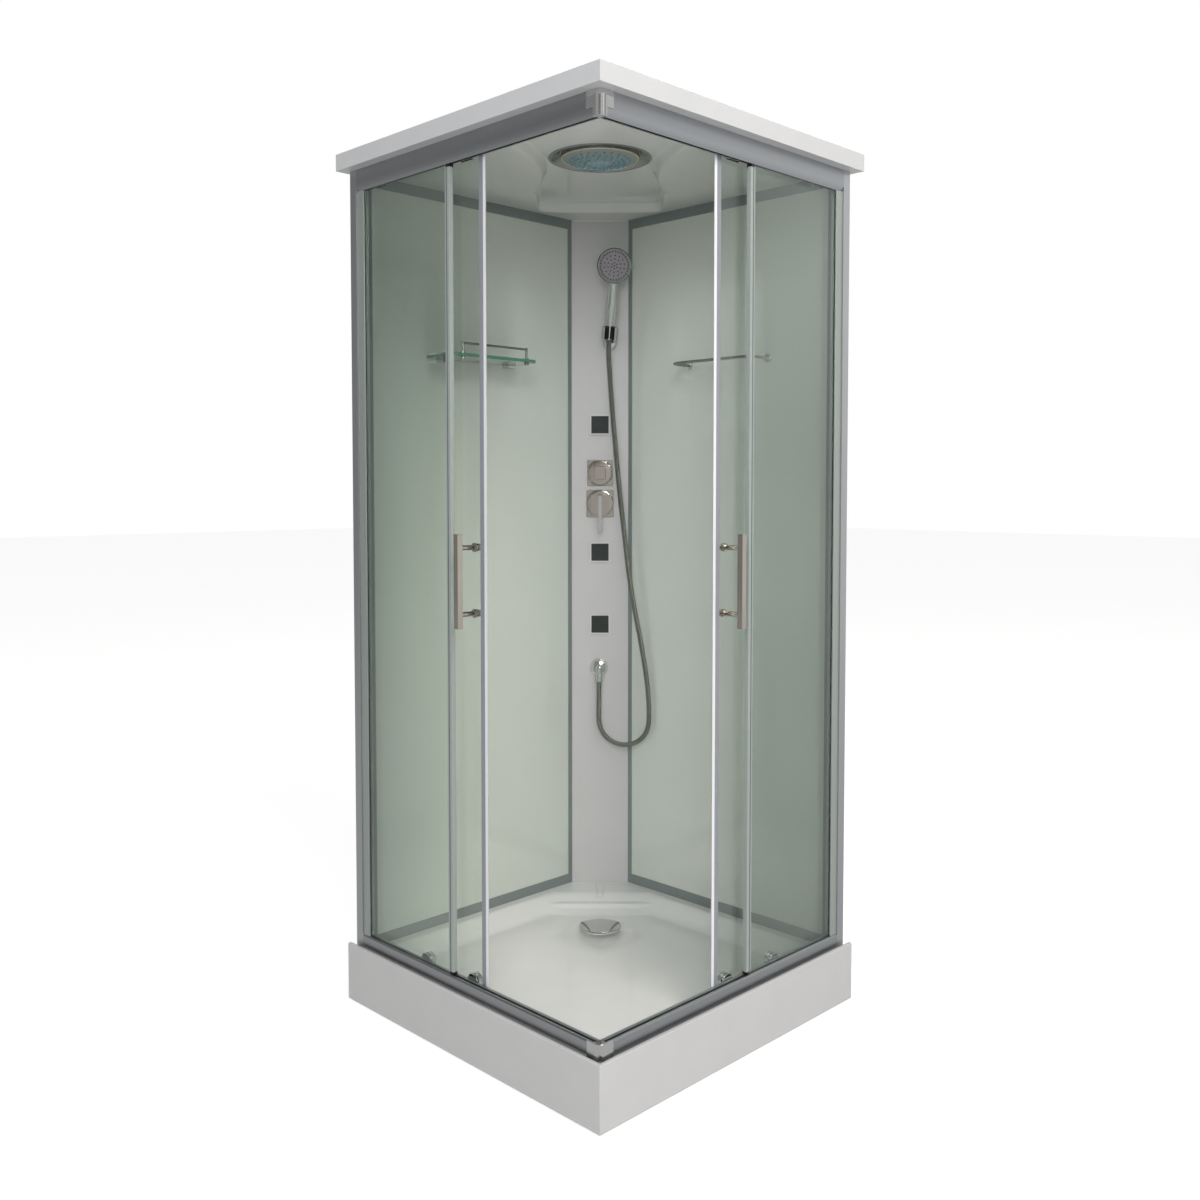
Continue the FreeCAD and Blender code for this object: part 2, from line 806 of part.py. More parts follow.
def make_rails():
    """Aluminium rails: slots for the fixed glass, a guide rib below and a roller track above."""
    play = dim.glass_play
    out = -rail_out
    slot_a = -fixed_out - play
    slot_b = -fixed_in + play
    foot = rail_low_top - dim.glass_grip
    rib = -(rail_out - dim.guide_rib_inset)
    reach = -(rail_out - dim.guide_reach)
    shelf = rim + dim.guide_flange
    curve = (dim.rail_curve_height * dim.rail_curve_height
             + dim.rail_curve_depth * dim.rail_curve_depth) / dim.rail_curve_depth / 2
    low = prism("low_rail", "YZ_Plane", [
        (out + dim.rail_curve_depth, rim, curve), (reach, rim), (reach, shelf),
        (rib + dim.guide_rib, shelf), (rib + dim.guide_rib, shelf + dim.guide_rib_height),
        (rib, shelf + dim.guide_rib_height), (rib, shelf), (-rail_in, shelf),
        (-rail_in, rail_low_top), (slot_b, rail_low_top), (slot_b, foot), (slot_a, foot),
        (slot_a, rail_low_top), (out + dim.rail_chamfer, rail_low_top),
        (out, rail_low_top - dim.rail_chamfer), (out, rim + dim.rail_curve_height)],
        -rail_start, rail_end)
    pair("bottom_rail", cut("low_rail_mitred", low, mitre("low_rail_mitre"),
                            rail_step("low_rail_step")))
    track = frame_top - dim.track_level
    wall = dim.top_rail_wall
    web = -(rail_out - dim.top_rail_web)
    inner = -top_rail_in
    roof = frame_top - wall
    slot_top = rail_high + dim.glass_grip - dim.glass_thick
    bend = (dim.top_curve_height * dim.top_curve_height
            + dim.top_curve_depth * dim.top_curve_depth) / dim.top_curve_depth / 2
    high = prism("high_rail", "YZ_Plane", [
        (out + dim.top_curve_depth, rail_high, bend), (slot_a, rail_high), (slot_a, slot_top),
        (slot_b, slot_top), (slot_b, rail_high), (web, rail_high), (web, track - wall),
        (-(rail_out - dim.track_reach), track - wall), (-(rail_out - dim.track_reach), track),
        (web, track), (web, roof), (inner - wall, roof), (inner - wall, frame_top - dim.inner_lip_drop),
        (inner, frame_top - dim.inner_lip_drop), (inner, frame_top), (out, frame_top),
        (out, rail_high + dim.top_curve_height)], -rail_start, rail_end)
    pair("top_rail", cut("high_rail_mitred", high, mitre("high_rail_mitre"),
                         rail_step("high_rail_step"),
                         *roof_screw_holes("rail_screw_hole", dim.screw_radius + dim.fit)))


def make_connectors():
    """Chrome pieces that join the rails at the front corner: a rounded core and two side skins."""
    leg = rail_out - dim.connector_leg
    wide = rail_out + dim.connector_skin
    core_in = rail_end + dim.fit
    lap = core_in + dim.connector_skin

    def connector(name, skin_low, low, high):
        core = prism(f"{name}_core", "XY_Plane", [
            (core_in, -wide), (wide, -wide), (wide, -core_in), (core_in, -core_in)], low, high)
        rounded(core, dim.connector_round, lambda edge: upright(edge)
                and edge.CenterOfMass.x - edge.CenterOfMass.y > 2 * float(wide) - float(dim.fit))
        left = block(f"{name}_left", (leg, lap), (-wide, -rail_out), (skin_low, high))
        right = block(f"{name}_right", (rail_out, wide), (-lap, -leg), (skin_low, high))
        return fuse(name, core, left, right)

    node("bottom_corner_connector", connector("low_connector", rim, rim,
                                              rail_low_top + dim.connector_skin))
    node("top_corner_connector", connector("high_connector", frame_top - dim.connector_drop,
                                           rail_high, frame_top))


def make_wall_posts():
    """Two nested profiles at each wall: one fixed to the wall side, one that holds the glass."""
    wall = dim.post_wall
    start = -rail_start
    out, inner = -rail_out, -rail_in
    outer = block("post_outer", (start - dim.post_width, start), (out, inner), (rim, frame_top))
    hollow = block("post_hollow", (start - dim.post_width + wall, start - wall),
                   (out + wall, inner - wall), (rim - dim.overrun, frame_top + dim.overrun))
    holder = block("post_holder", (start, start + dim.post_width), (out + dim.post_step, inner),
                   (rail_low_top, rail_high))
    slot = block("post_slot", (start + dim.seal_lip - dim.fit, start + dim.post_width + dim.overrun),
                 (-fixed_out - dim.glass_play, dim.glass_play - fixed_in),
                 (rail_low_top - dim.overrun, rail_high + dim.overrun))
    pair("wall_post", group("post", cut("post_tube", outer, hollow),
                            cut("post_channel", holder, slot)))


def make_fixed_panes():
    """Fixed glass with the seal on its free edge and the black stops at the seal's ends."""
    edge = -dim.fixed_pane_inset
    tip = edge + dim.fixed_seal
    low = rail_low_top - dim.glass_grip + dim.fit
    high = rail_high + dim.glass_grip - dim.glass_thick - dim.fit
    glass = block("fixed_glass", (-rail_start + dim.seal_lip, edge), (-fixed_out, -fixed_in),
                  (low, high))
    pair("fixed_glass", glass)
    wing = dim.seal_wing
    grip = edge - dim.seal_lip
    lip = -(door_wing_out + dim.fit * 2)
    fit = dim.fit
    profile = [
        (grip, -fixed_out - wing), (tip, -fixed_out - wing), (tip, -fixed_in + wing),
        (edge + dim.seal_lip, -fixed_in + wing), (edge + dim.seal_lip, lip), (edge, lip),
        (edge, -fixed_in + wing), (grip, -fixed_in + wing), (grip, -fixed_in + fit),
        (edge + fit, -fixed_in + fit), (edge + fit, -fixed_out - fit), (grip, -fixed_out - fit)]
    seal = prism("fixed_seal", "XY_Plane", profile, rail_low_top + dim.stop_height,
                 rail_high - dim.stop_height)
    node("fixed_glass_seals", group("fixed_seals", seal, mirrored("fixed_seal_twin", seal)))
    face = (edge + fit, edge + dim.stop_width)
    deep = (-fixed_out - wing, -rail_in - wing / 2)
    stops = [block("stop_low", face, deep, (rail_low_top, rail_low_top + dim.stop_height)),
             block("stop_high", face, deep, (rail_high - dim.stop_height, rail_high))]
    twins = [mirrored(f"{stop.Name}_twin", stop) for stop in stops]
    node("rail_stops", group("stops", *stops, *twins))


def door_holes():
    """Holes in the left door for its hangers, hooks and handle."""
    spots = [(x, rim + dim.hook_height) for x in hook_places]
    spots += [(x, frame_top - dim.hanger_bolt_drop) for x in hanger_places]
    middle = dim.handle_low + dim.handle_length / 2
    spots += [(handle_x, middle + dim.handle_pitch / 2 * side) for side in (-1, 1)]
    return [rod(f"door_hole_{number}", dim.bolt_hole, (x, -door_out - dim.overrun, z),
                dim.glass_thick + dim.overrun * 2, "y")
            for number, (x, z) in enumerate(spots, start=1)]


def make_doors():
    """Sliding glass with its magnetic front seal and its wiper behind."""
    pane = block("door_pane", (-door_trail, door_lead), (-door_out, -door_in),
                 (door_low, door_high))
    pair("door_glass", cut("door_pane_drilled", pane, *door_holes()))
    fit = dim.fit
    grip = door_lead - dim.seal_grip
    flush = travel + fit
    magnet = prism("magnet_seal", "XY_Plane", [
        (grip, -door_wing_out), (door_wing_out - flush, -door_wing_out),
        (door_wing_in - flush, -door_wing_in), (grip, -door_wing_in), (grip, -door_in + fit),
        (door_lead + fit, -door_in + fit), (door_lead + fit, -door_out - fit), (grip, -door_out - fit)],
        door_low, door_high)
    trail = -door_trail
    back = trail - dim.trail_seal
    grip = trail + dim.seal_lip
    wiper = prism("wiper_seal", "XY_Plane", [
        (back, -door_wing_out), (grip, -door_wing_out), (grip, -door_out - fit),
        (trail - fit, -door_out - fit), (trail - fit, -door_in + fit), (grip, -door_in + fit),
        (grip, -door_wing_in), (back, -door_wing_in)], door_low, door_high)
    pair("door_seals", group("seals", magnet, wiper))


def make_carriers():
    """Hangers with their axles above, guide hooks with round caps below, all bolted to the glass."""
    pieces = []
    finger_high = rim + dim.hook_height - dim.hook_radius / 2
    finger_low = rim + dim.guide_flange + dim.hook_clear
    rib = rail_out - dim.guide_rib_inset
    for number, x in enumerate(hook_places, start=1):
        wide = (x - dim.hook_finger, x + dim.hook_finger)
        level = rim + dim.hook_height
        cap = rod(f"hook_cap_{number}", dim.hook_radius, (x, -door_out - dim.hook_cap, level),
                  dim.hook_cap, "y")
        bolt = rod(f"hook_bolt_{number}", dim.bolt_radius, (x, -door_out - dim.hook_cap, level),
                   dim.hook_cap + dim.glass_thick + dim.hook_block / 2, "y")
        body = rod(f"hook_block_{number}", dim.hook_radius, (x, -door_in, level),
                   dim.hook_block, "y")
        outer = block(f"hook_outer_{number}", wide, (-door_in, -rib - dim.fit),
                      (finger_low, finger_high))
        inner = block(f"hook_inner_{number}", wide,
                      (-rib + dim.guide_rib + dim.fit, -door_in + dim.hook_block),
                      (finger_low, finger_high))
        pieces.append(fuse(f"hook_{number}", cap, bolt, body, outer, inner))
    axle_level = frame_top - dim.track_level + dim.wheel_radius + dim.fit
    wheel_in = door_out
    wheel_out = wheel_in + dim.wheel_width
    for number, x in enumerate(hanger_places, start=1):
        level = frame_top - dim.hanger_bolt_drop
        plate = block(f"hanger_plate_{number}", (x - dim.hanger_width / 2, x + dim.hanger_width / 2),
                      (-door_in, -door_in + dim.hanger_thick),
                      (frame_top - dim.hanger_drop, axle_level + dim.axle_head))
        cap = rod(f"hanger_cap_{number}", dim.hanger_cap,
                  (x, -door_out - dim.hanger_cap_thick, level), dim.hanger_cap_thick, "y")
        bolt = rod(f"hanger_bolt_{number}", dim.bolt_radius,
                   (x, -door_out - dim.hanger_cap_thick, level),
                   dim.hanger_cap_thick + dim.glass_thick + dim.hanger_thick / 2, "y")
        axle = rod(f"hanger_axle_{number}", dim.axle_radius,
                   (x, -wheel_out - dim.fit, axle_level),
                   wheel_out + dim.fit - door_in + dim.hanger_thick / 2, "y")
        shoulder = rod(f"hanger_shoulder_{number}", dim.axle_head,
                       (x, -wheel_in + dim.fit, axle_level), wheel_in - dim.fit - door_in, "y")
        pieces.append(fuse(f"hanger_{number}", plate, cap, bolt, axle, shoulder))
        wheel = turned(f"wheel_{number}", [
            (dim.wheel_bore, 0), (dim.wheel_radius, 0), (dim.wheel_radius, dim.wheel_width),
            (dim.wheel_bore, dim.wheel_width)])
        place(wheel, x, -wheel_out, axle_level, TURNS["y"])
        pair(("front_wheel", "rear_wheel")[number - 1], wheel)
    pair("door_carriers", group("carriers", *pieces))


def make_handles():
    """Square chrome bar on two round stems, with a knob on the inner side of the glass."""
    side = dim.handle_bar / 2
    bar_in = door_out + dim.handle_reach
    bar = block("handle_bar_block", (handle_x - side, handle_x + side), (-bar_in - dim.handle_bar, -bar_in),
                (dim.handle_low, dim.handle_low + dim.handle_length))
    pieces = [bar]
    middle = dim.handle_low + dim.handle_length / 2
    for number, way in enumerate((-1, 1), start=1):
        z = middle + dim.handle_pitch / 2 * way
        pieces.append(rod(f"handle_stem_{number}", dim.handle_stem,
                          (handle_x, -bar_in - dim.handle_bar / 2, z),
                          dim.handle_reach + dim.handle_bar / 2, "y"))
        pieces.append(rod(f"handle_collar_{number}", dim.handle_collar,
                          (handle_x, -door_out - dim.handle_collar_thick, z), dim.handle_collar_thick, "y"))
        pieces.append(rod(f"handle_bolt_{number}", dim.bolt_radius, (handle_x, -door_out, z),
                          dim.glass_thick, "y"))
        knob = cone(f"handle_knob_{number}", dim.handle_knob, dim.handle_knob_tip,
                    dim.handle_knob_length)
        pieces.append(place(knob, handle_x, -door_in, z, TURNS["y"]))
    pair("door_handle", fuse("handle", *pieces))


def make_panels():
    """Back-painted glass panels in slim aluminium frames."""
    face = panel_face
    corner = (column_back - dim.column_width / 2) / ROOT_TWO
    near, far = -rail_in + dim.fit, corner
    low, high = rim, frame_top
    strip, inner_strip = dim.panel_strip, dim.panel_strip_inner
    depth = (-face - dim.panel_depth, -face)
    pane = (-face - dim.panel_lip - dim.panel_glass, -face - dim.panel_lip)
    fit = dim.fit
    outer = block("panel_outer", depth, (near, far), (low, high))
    window = block("panel_window", (-face - dim.panel_depth - dim.overrun, -face + dim.overrun),
                   (near + strip, far - inner_strip), (low + strip, high - strip - dim.ceiling_drop))
    grip = dim.panel_grip
    glass_y = (near + strip - grip, far - inner_strip + grip)
    glass_z = (low + strip - grip, high - strip - dim.ceiling_drop + grip)
    slot = block("panel_slot", (pane[0] - fit, pane[1]), (glass_y[0] - fit, glass_y[1] + fit),
                 (glass_z[0] - fit, glass_z[1] + fit))
    pair("panel_frame", cut("panel_border", outer, window, slot))
    pair("back_panel", block("panel_glass_block", pane, glass_y, glass_z))


def column_face_cutters():
    """Openings in the column for the jets, the valves and the hose outlet."""
    deep = (column_back - dim.overrun, column_back + dim.column_sheet + dim.overrun)
    side = dim.jet_neck / 2 + dim.fit
    cutters = [block(f"column_jet_hole_{number}", (-side, side), deep, (z - side, z + side))
               for number, z in enumerate((jet_top, jet_middle, jet_low), start=1)]
    rounds = ((0, diverter_level, dim.diverter_stem), (0, mixer_level, dim.cartridge_radius),
              (-dim.outlet_offset, outlet_level, dim.elbow_radius))
    for number, (x, z, radius) in enumerate(rounds, start=1):
        cutters.append(rod(f"column_hole_{number}", radius + dim.fit, (x, deep[0], z),
                           deep[1] - deep[0], "y"))
    notch = dim.notch_width / 2
    cutters.append(block("column_notch", (-notch, notch), deep,
                         (ceiling_level - dim.notch_height, ceiling_level)))
    return cutters


def make_column():
    """Satin column across the back corner: a face with a return along each side."""
    side = dim.column_width / 2
    back = column_back
    plate = prism("column_plate", "XY_Plane", [
        (-side, back), (side, back), (side, back + dim.column_return),
        (side - dim.column_sheet, back + dim.column_return),
        (side - dim.column_sheet, back + dim.column_sheet),
        (dim.column_sheet - side, back + dim.column_sheet),
        (dim.column_sheet - side, back + dim.column_return), (-side, back + dim.column_return)],
        rim, frame_top)
    node("column_panel",
         on_diagonal("column", cut("column_pierced", plate, *column_face_cutters())))


def recess(name, grow, low, high):
    """The raised middle of the ceiling: a strip along the diagonal between two corner arcs."""
    clip_reach = top_rail_in - dim.recess_margin + grow
    clip_back = half + dim.roof_overhang - dim.roof_flange - dim.ceiling_sheet - dim.fit + grow
    clip = block(f"{name}_clip", (-clip_back, clip_reach), (-clip_reach, clip_back), (low, high))
    front = block(f"{name}_front", (-recess_arc, recess_arc), (-half * 2, 0), (low, high))
    back = block(f"{name}_back", (-dim.recess_half_width - grow, dim.recess_half_width + grow),
                 (-dim.overrun, column_back - dim.recess_back_inset + grow), (low, high))
    strip = on_diagonal(f"{name}_strip", fuse(f"{name}_shape", front, back))
    discs = [rod(f"{name}_disc_{number}", recess_arc - grow,
                 (half * way, half * way, low - dim.overrun), high - low + dim.overrun * 2)
             for number, way in enumerate((-1, 1), start=1)]
    return cut(name, common(f"{name}_common", strip, clip), *discs)


def make_ceiling():
    """Moulded ceiling sheet between the rails, the panels and the column, with a short skirt there."""
    low = ceiling_level
    sheet_thick = dim.ceiling_sheet
    flat = prism("ceiling_flat", "XY_Plane",
                 five_sided(top_rail_in - dim.fit, panel_face - dim.fit,
                            column_back - dim.fit), low, low + sheet_thick)
    outer = recess("ceiling_outer", sheet_thick, low, low + dim.recess_rise + sheet_thick)
    inner = recess("ceiling_inner", Size("0"), low, low + dim.recess_rise)
    skirt_back = column_back - dim.fit
    skirt = block("ceiling_skirt", (-dim.skirt_reach, dim.skirt_reach),
                  (skirt_back - dim.skirt_thick, skirt_back),
                  (low - dim.skirt_drop, low + sheet_thick / 2))
    hole = rod("ceiling_hole", dim.rose_ring - dim.rose_lip + dim.rose_play,
               (0, -dim.rose_front, low), dim.recess_rise + sheet_thick + dim.overrun)
    node("ceiling_panel", cut("ceiling", fuse("ceiling_solid", flat, outer,
                                              on_diagonal("ceiling_skirt_turned", skirt)), inner,
                              on_diagonal("ceiling_hole_turned", hole)))


def square(reach):
    """Four corners of a square about the origin."""
    return [(-reach, -reach), (reach, -reach), (reach, reach), (-reach, reach)]


def make_roof():
    """White roof cover: an upright lip all round, a flange under it and a low crown on top."""
    wide = half + dim.roof_overhang
    top = frame_top + dim.roof_lip
    sheet_thick = dim.roof_sheet
    inside = wide - sheet_thick
    inset = dim.roof_crown_inset
    lip = block("roof_lip_block", (-wide, wide), (-wide, wide), (frame_top, top))
    crown = frustum("roof_crown_solid", square(wide), top, square(wide - inset),
                    top + dim.roof_crown)
    cavity = block("roof_cavity", (-inside, inside), (-inside, inside),
                   (frame_top + sheet_thick, top))
    attic = frustum("roof_attic", square(inside), top, square(inside - inset),
                    top + dim.roof_crown - sheet_thick)
    open_reach = wide - dim.roof_flange
    opening = block("roof_opening", (-open_reach, open_reach), (-open_reach, open_reach),
                    (frame_top - dim.overrun, frame_top + sheet_thick + dim.overrun))
    holes = roof_screw_holes("roof_screw_hole", dim.screw_radius + dim.fit)
    twins = [mirrored(f"{hole.Name}_twin", hole) for hole in holes]
    node("roof_cover", cut("roof", fuse("roof_solid", lip, crown), cavity, attic, opening,
                           *holes, *twins))


def make_screws():
    """Pan-head screws that hold the roof flange to the top rails."""
    line = rail_out - dim.screw_inset
    head = frame_top + dim.roof_sheet
    screws = []
    for number, way in enumerate((-1, 0, 1), start=1):
        screw = turned(f"screw_{number}", [
            (0, 0), (dim.screw_radius, 0), (dim.screw_radius, dim.screw_length),
            (dim.screw_head, dim.screw_length),
            (dim.screw_head, dim.screw_length + dim.screw_head_height / 2),
            (dim.screw_radius, dim.screw_length + dim.screw_head_height),
            (0, dim.screw_length + dim.screw_head_height)])
        screws.append(place(screw, dim.screw_pitch * way, -line, head - dim.screw_length))
    twins = [mirrored(f"{screw.Name}_twin", screw) for screw in screws]
    node("roof_screws", group("screws", *screws, *twins))


def make_overhead():
    """Overhead shower: a dished ring in the ceiling and a convex spray face under it."""
    ceiling = ceiling_level + dim.recess_rise
    skin = dim.rose_sheet
    low = ceiling - skin
    high = low + dim.rose_dish_rise
    collar = dim.rose_ring - dim.rose_lip
    dish = turned("rose_dish_shell", [
        (0, high), (dim.rose_dish, high), (collar - skin, low), (dim.rose_ring, low),
        (dim.rose_ring, ceiling), (collar, ceiling), (collar, ceiling + dim.ceiling_sheet),
        (dim.rose_dish + skin, high + skin), (dim.rose_boss, high + skin),
        (dim.rose_boss, high + skin + dim.rose_boss_height),
        (0, high + skin + dim.rose_boss_height)])
    place(dish, 0, -dim.rose_front)
    node("overhead_housing", on_diagonal("rose_housing", dish))
    bulge = (dim.rose_radius * dim.rose_radius + dim.rose_bulge * dim.rose_bulge)
    face = turned("rose_face", [
        (0, low - dim.rose_bulge), (dim.rose_radius, low, bulge / dim.rose_bulge / 2),
        (dim.rose_radius, high - dim.fit), (0, high - dim.fit)])
    place(face, 0, -dim.rose_front)
    node("overhead_face", on_diagonal("rose_plate", face))


def make_jets():
    """Three square body jets: a light bezel through the column and a dark face in it."""
    back = column_back
    side, face, neck = dim.jet_side / 2, dim.jet_face / 2, dim.jet_neck / 2
    pieces = []
    for number, z in enumerate((jet_top, jet_middle, jet_low), start=1):
        rim_block = block(f"jet_bezel_{number}", (-side, side), (back - dim.jet_thick, back),
                          (z - side, z + side))
        body = block(f"jet_neck_{number}", (-neck, neck), (back, back + dim.jet_neck_length),
                     (z - neck, z + neck))
        floor = back - dim.jet_thick + dim.jet_face_depth
        pocket = face + dim.fit
        well = block(f"jet_well_{number}", (-pocket, pocket), (back - dim.jet_thick - dim.overrun, floor),
                     (z - pocket, z + pocket))
        insert = block(f"jet_insert_{number}", (-face, face),
                       (back - dim.jet_thick - dim.jet_stand, floor), (z - face, z + face))
        pieces += [cut(f"jet_housing_{number}", fuse(f"jet_solid_{number}", rim_block, body), well),
                   insert]
    node("body_jets", on_diagonal("jets", *pieces))


def face_plate(name, side, level, hole):
    """A square plate with rounded corners on the column's face, pierced for a stem."""
    reach = side / 2
    low, high = column_back - dim.plate_thick, column_back
    plate = prism(f"{name}_sheet", "XZ_Plane", [
        (-reach, level - reach), (reach, level - reach), (reach, level + reach),
        (-reach, level + reach)], low, high)
    rounded(plate, dim.plate_round, lambda edge: edge.BoundBox.XLength + edge.BoundBox.ZLength
            < edge.BoundBox.YLength / 1000)
    return plate, rod(f"{name}_bore", hole + dim.fit, (0, low - dim.overrun * 2, level),
                      dim.plate_thick + dim.overrun * 3, "y")


def make_diverter():
    """Diverter plate with a round boss, and the square knob that turns on its stem."""
    level = diverter_level
    front = column_back - dim.plate_thick
    plate, bore = face_plate("diverter_base", dim.diverter_side, level, dim.diverter_stem)
    boss = rod("diverter_boss", dim.diverter_disc, (0, front - dim.diverter_disc_thick, level),
               dim.diverter_disc_thick, "y")
    node("diverter_plate", on_diagonal("diverter_face", cut(
        "diverter_pierced", fuse("diverter_solid", plate, boss), bore)))
    back = front - dim.diverter_disc_thick - dim.fit
    wide, tall = dim.diverter_knob_width / 2, dim.diverter_knob_height / 2
    grip = prism("knob_grip", "XZ_Plane", [
        (-wide, level - tall), (wide, level - tall), (wide, level + tall), (-wide, level + tall)],
        back - dim.diverter_knob_depth, back)
    rounded(grip, dim.knob_round, lambda edge: edge.BoundBox.XLength + edge.BoundBox.ZLength
            < edge.BoundBox.YLength / 1000)
    socket = rod("knob_socket", dim.diverter_stem + dim.running_gap,
                 (0, back - dim.stem_depth, level), dim.stem_depth + dim.overrun, "y")
    node("diverter_knob", on_diagonal("knob", cut("knob_hollow", grip, socket)))


def make_mixer():
    """Mixer plate, the square cover that turns for temperature and the lever that tilts for flow."""
    level = mixer_level
    front = column_back - dim.plate_thick
    plate, bore = face_plate("mixer_base", dim.mixer_side, level, dim.cartridge_radius)
    boss = rod("mixer_boss", dim.mixer_disc, (0, front - dim.mixer_disc_thick, level),
               dim.mixer_disc_thick, "y")
    node("mixer_plate", on_diagonal("mixer_face", cut(
        "mixer_pierced", fuse("mixer_solid", plate, boss), bore)))
    back = front - dim.mixer_disc_thick - dim.fit
    face = back - dim.mixer_cover_depth
    side = dim.mixer_cover / 2
    cube = block("cover_cube", (-side, side), (face, back), (level - side, level + side))
    socket = rod("cover_socket", dim.cartridge_radius + dim.running_gap,
                 (0, back - dim.cartridge_depth, level), dim.cartridge_depth + dim.overrun, "y")
    pivot_y = face - dim.fit - dim.lever_thick / 2
    pivot_z = level + dim.lever_top
    half_lever = dim.lever_width / 2
    ears = []
    for number, way in enumerate((-1, 1), start=1):
        near = half_lever + dim.fit
        span = (near, near + dim.lever_ear) if way > 0 else (-near - dim.lever_ear, -near)
        ears.append(block(f"lever_ear_{number}", span, (pivot_y - dim.lever_thick / 2, face),
                          (pivot_z - dim.lever_thick / 2, pivot_z + dim.lever_thick / 2)))
    pin_hole = rod("lever_pin_hole", dim.lever_pin + dim.running_gap,
                   (-dim.mixer_cover, pivot_y, pivot_z), dim.mixer_cover * 2, "x")
    node("mixer_cover", on_diagonal("mixer_cap", cut(
        "mixer_cap_pierced", fuse("mixer_cap_solid", cube, *ears), socket, pin_hole)))
    bar = block("lever_bar", (-half_lever, half_lever),
                (pivot_y - dim.lever_thick / 2, pivot_y + dim.lever_thick / 2),
                (pivot_z - dim.lever_length, pivot_z))
    nose = rod("lever_nose", dim.lever_thick / 2, (-half_lever, pivot_y, pivot_z),
               dim.lever_width, "x")
    pin_reach = half_lever + dim.fit + dim.lever_ear
    pin = rod("lever_pin_rod", dim.lever_pin, (-pin_reach, pivot_y, pivot_z), pin_reach * 2, "x")
    node("mixer_lever", on_diagonal("lever", fuse("lever_solid", bar, nose, pin)))


def make_valve():
    """Brass valve body behind the column, with its two threaded inlets at the back."""
    back = column_back + dim.column_sheet
    start = back + dim.valve_stand
    wide, tall = dim.mixer_block_width / 2, dim.mixer_block_height / 2
    level = mixer_level
    depth = dim.mixer_block_depth
    pieces = [block("valve_mixer", (-wide, wide), (start, start + depth),
                    (level - tall, level + tall))]
    side = dim.diverter_block / 2
    level_d = diverter_level
    pieces.append(block("valve_diverter", (-side, side), (start, start + dim.diverter_block_depth),
                        (level_d - side, level_d + side)))
    pieces.append(rod("valve_link", dim.pipe_radius * 2,
                      (0, start + dim.pipe_stand - dim.valve_stand, level), level_d - level))
    front = column_back - dim.plate_thick
    cover_back = front - dim.mixer_disc_thick - dim.fit
    tip = cover_back - dim.cartridge_depth + dim.fit
    pieces.append(rod("valve_cartridge", dim.cartridge_radius, (0, tip, level), start - tip, "y"))
    knob_back = front - dim.diverter_disc_thick - dim.fit
    tip = knob_back - dim.stem_depth + dim.fit
    pieces.append(rod("valve_stem", dim.diverter_stem, (0, tip, level_d), start - tip, "y"))
    for number, way in enumerate((-1, 1), start=1):
        pieces.append(rod(f"valve_inlet_{number}", dim.inlet_radius,
                          (dim.inlet_spread / 2 * way, start + depth, level), dim.inlet_length, "y"))
    node("mixer_valve_body", on_diagonal("valve", fuse("valve_solid", *pieces)))


def tube_path(points, radii):
    """Straight runs joined by tangent arcs of the given radii."""
    edges = []
    at = points[0]
    for before, corner, after, bend in zip(points, points[1:], points[2:], radii):
        inward = (before - corner).normalize()
        outward = (after - corner).normalize()
        half_turn = (math.pi - inward.getAngle(outward)) / 2
        back = bend * math.tan(half_turn)
        first, last = corner + inward * back, corner + outward * back
        bisector = (inward + outward).normalize()
        middle = corner + bisector * (bend / math.cos(half_turn) - bend)
        edges.append(Part.LineSegment(at, first).toShape())
        edges.append(Part.Arc(first, middle, last).toShape())
        at = last
    edges.append(Part.LineSegment(at, points[-1]).toShape())
    return Part.Wire(edges)


def bent_tube(name, points, radii, radius):
    """A round bar along straight runs and arcs."""
    path = tube_path(points, radii)
    section = Part.Wire([Part.Circle(points[0], points[1] - points[0], radius).toShape()])
    piece = doc.addObject("Part::Feature", name)
    piece.Shape = path.makePipeShell([section], True, False)
    print(name, "length", round(path.Length, 1), "volume", round(piece.Shape.Volume, 1),
          "section x length", round(math.pi * radius ** 2 * path.Length, 1))
    return piece


def spot(x, y, z):
    """A point from three sizes."""
    return Vector(float(x), float(y), float(z))


def make_pipes():
    """Rigid pipes: up to the overhead shower, and down past the jets to the hose outlet."""
    radius, bend = float(dim.pipe_radius), float(dim.pipe_bend)
    back = column_back + dim.column_sheet
    line = back + dim.pipe_stand
    ceiling = ceiling_level + dim.recess_rise
    dish_top = ceiling + dim.rose_dish_rise + dim.rose_boss_height
    level = dish_top + dim.pipe_bend * 1.05
    riser = bent_tube("riser", [
        spot(0, line, diverter_level + dim.diverter_block / 2), spot(0, line, level),
        spot(0, -dim.rose_front, level), spot(0, -dim.rose_front, dish_top)], [bend] * 2, radius)
    side, inner = dim.manifold_offset, dim.branch_offset
    low, outlet = outlet_level, -dim.outlet_offset
    jet_back = column_back + dim.jet_neck_length
    pieces = [bent_tube("manifold", [
        spot(inner, jet_back, jet_top), spot(inner, line, jet_top),
        spot(side, line, jet_top), spot(side, line, low), spot(outlet, line, low),
        spot(outlet, back, low)], [bend] * 4, radius)]
    for number, z in enumerate((jet_middle, jet_low), start=1):
        pieces.append(bent_tube(f"branch_{number}", [
            spot(inner, jet_back, z), spot(inner, line, z), spot(side, line, z)], [bend],
            float(dim.branch_radius)))
    pieces.append(rod("manifold_feed", dim.branch_radius,
                      (dim.diverter_block / 2, line, diverter_level),
                      side - dim.diverter_block / 2, "x"))
    node("water_pipes", on_diagonal("pipes", riser, fuse("pipes_down", *pieces)))


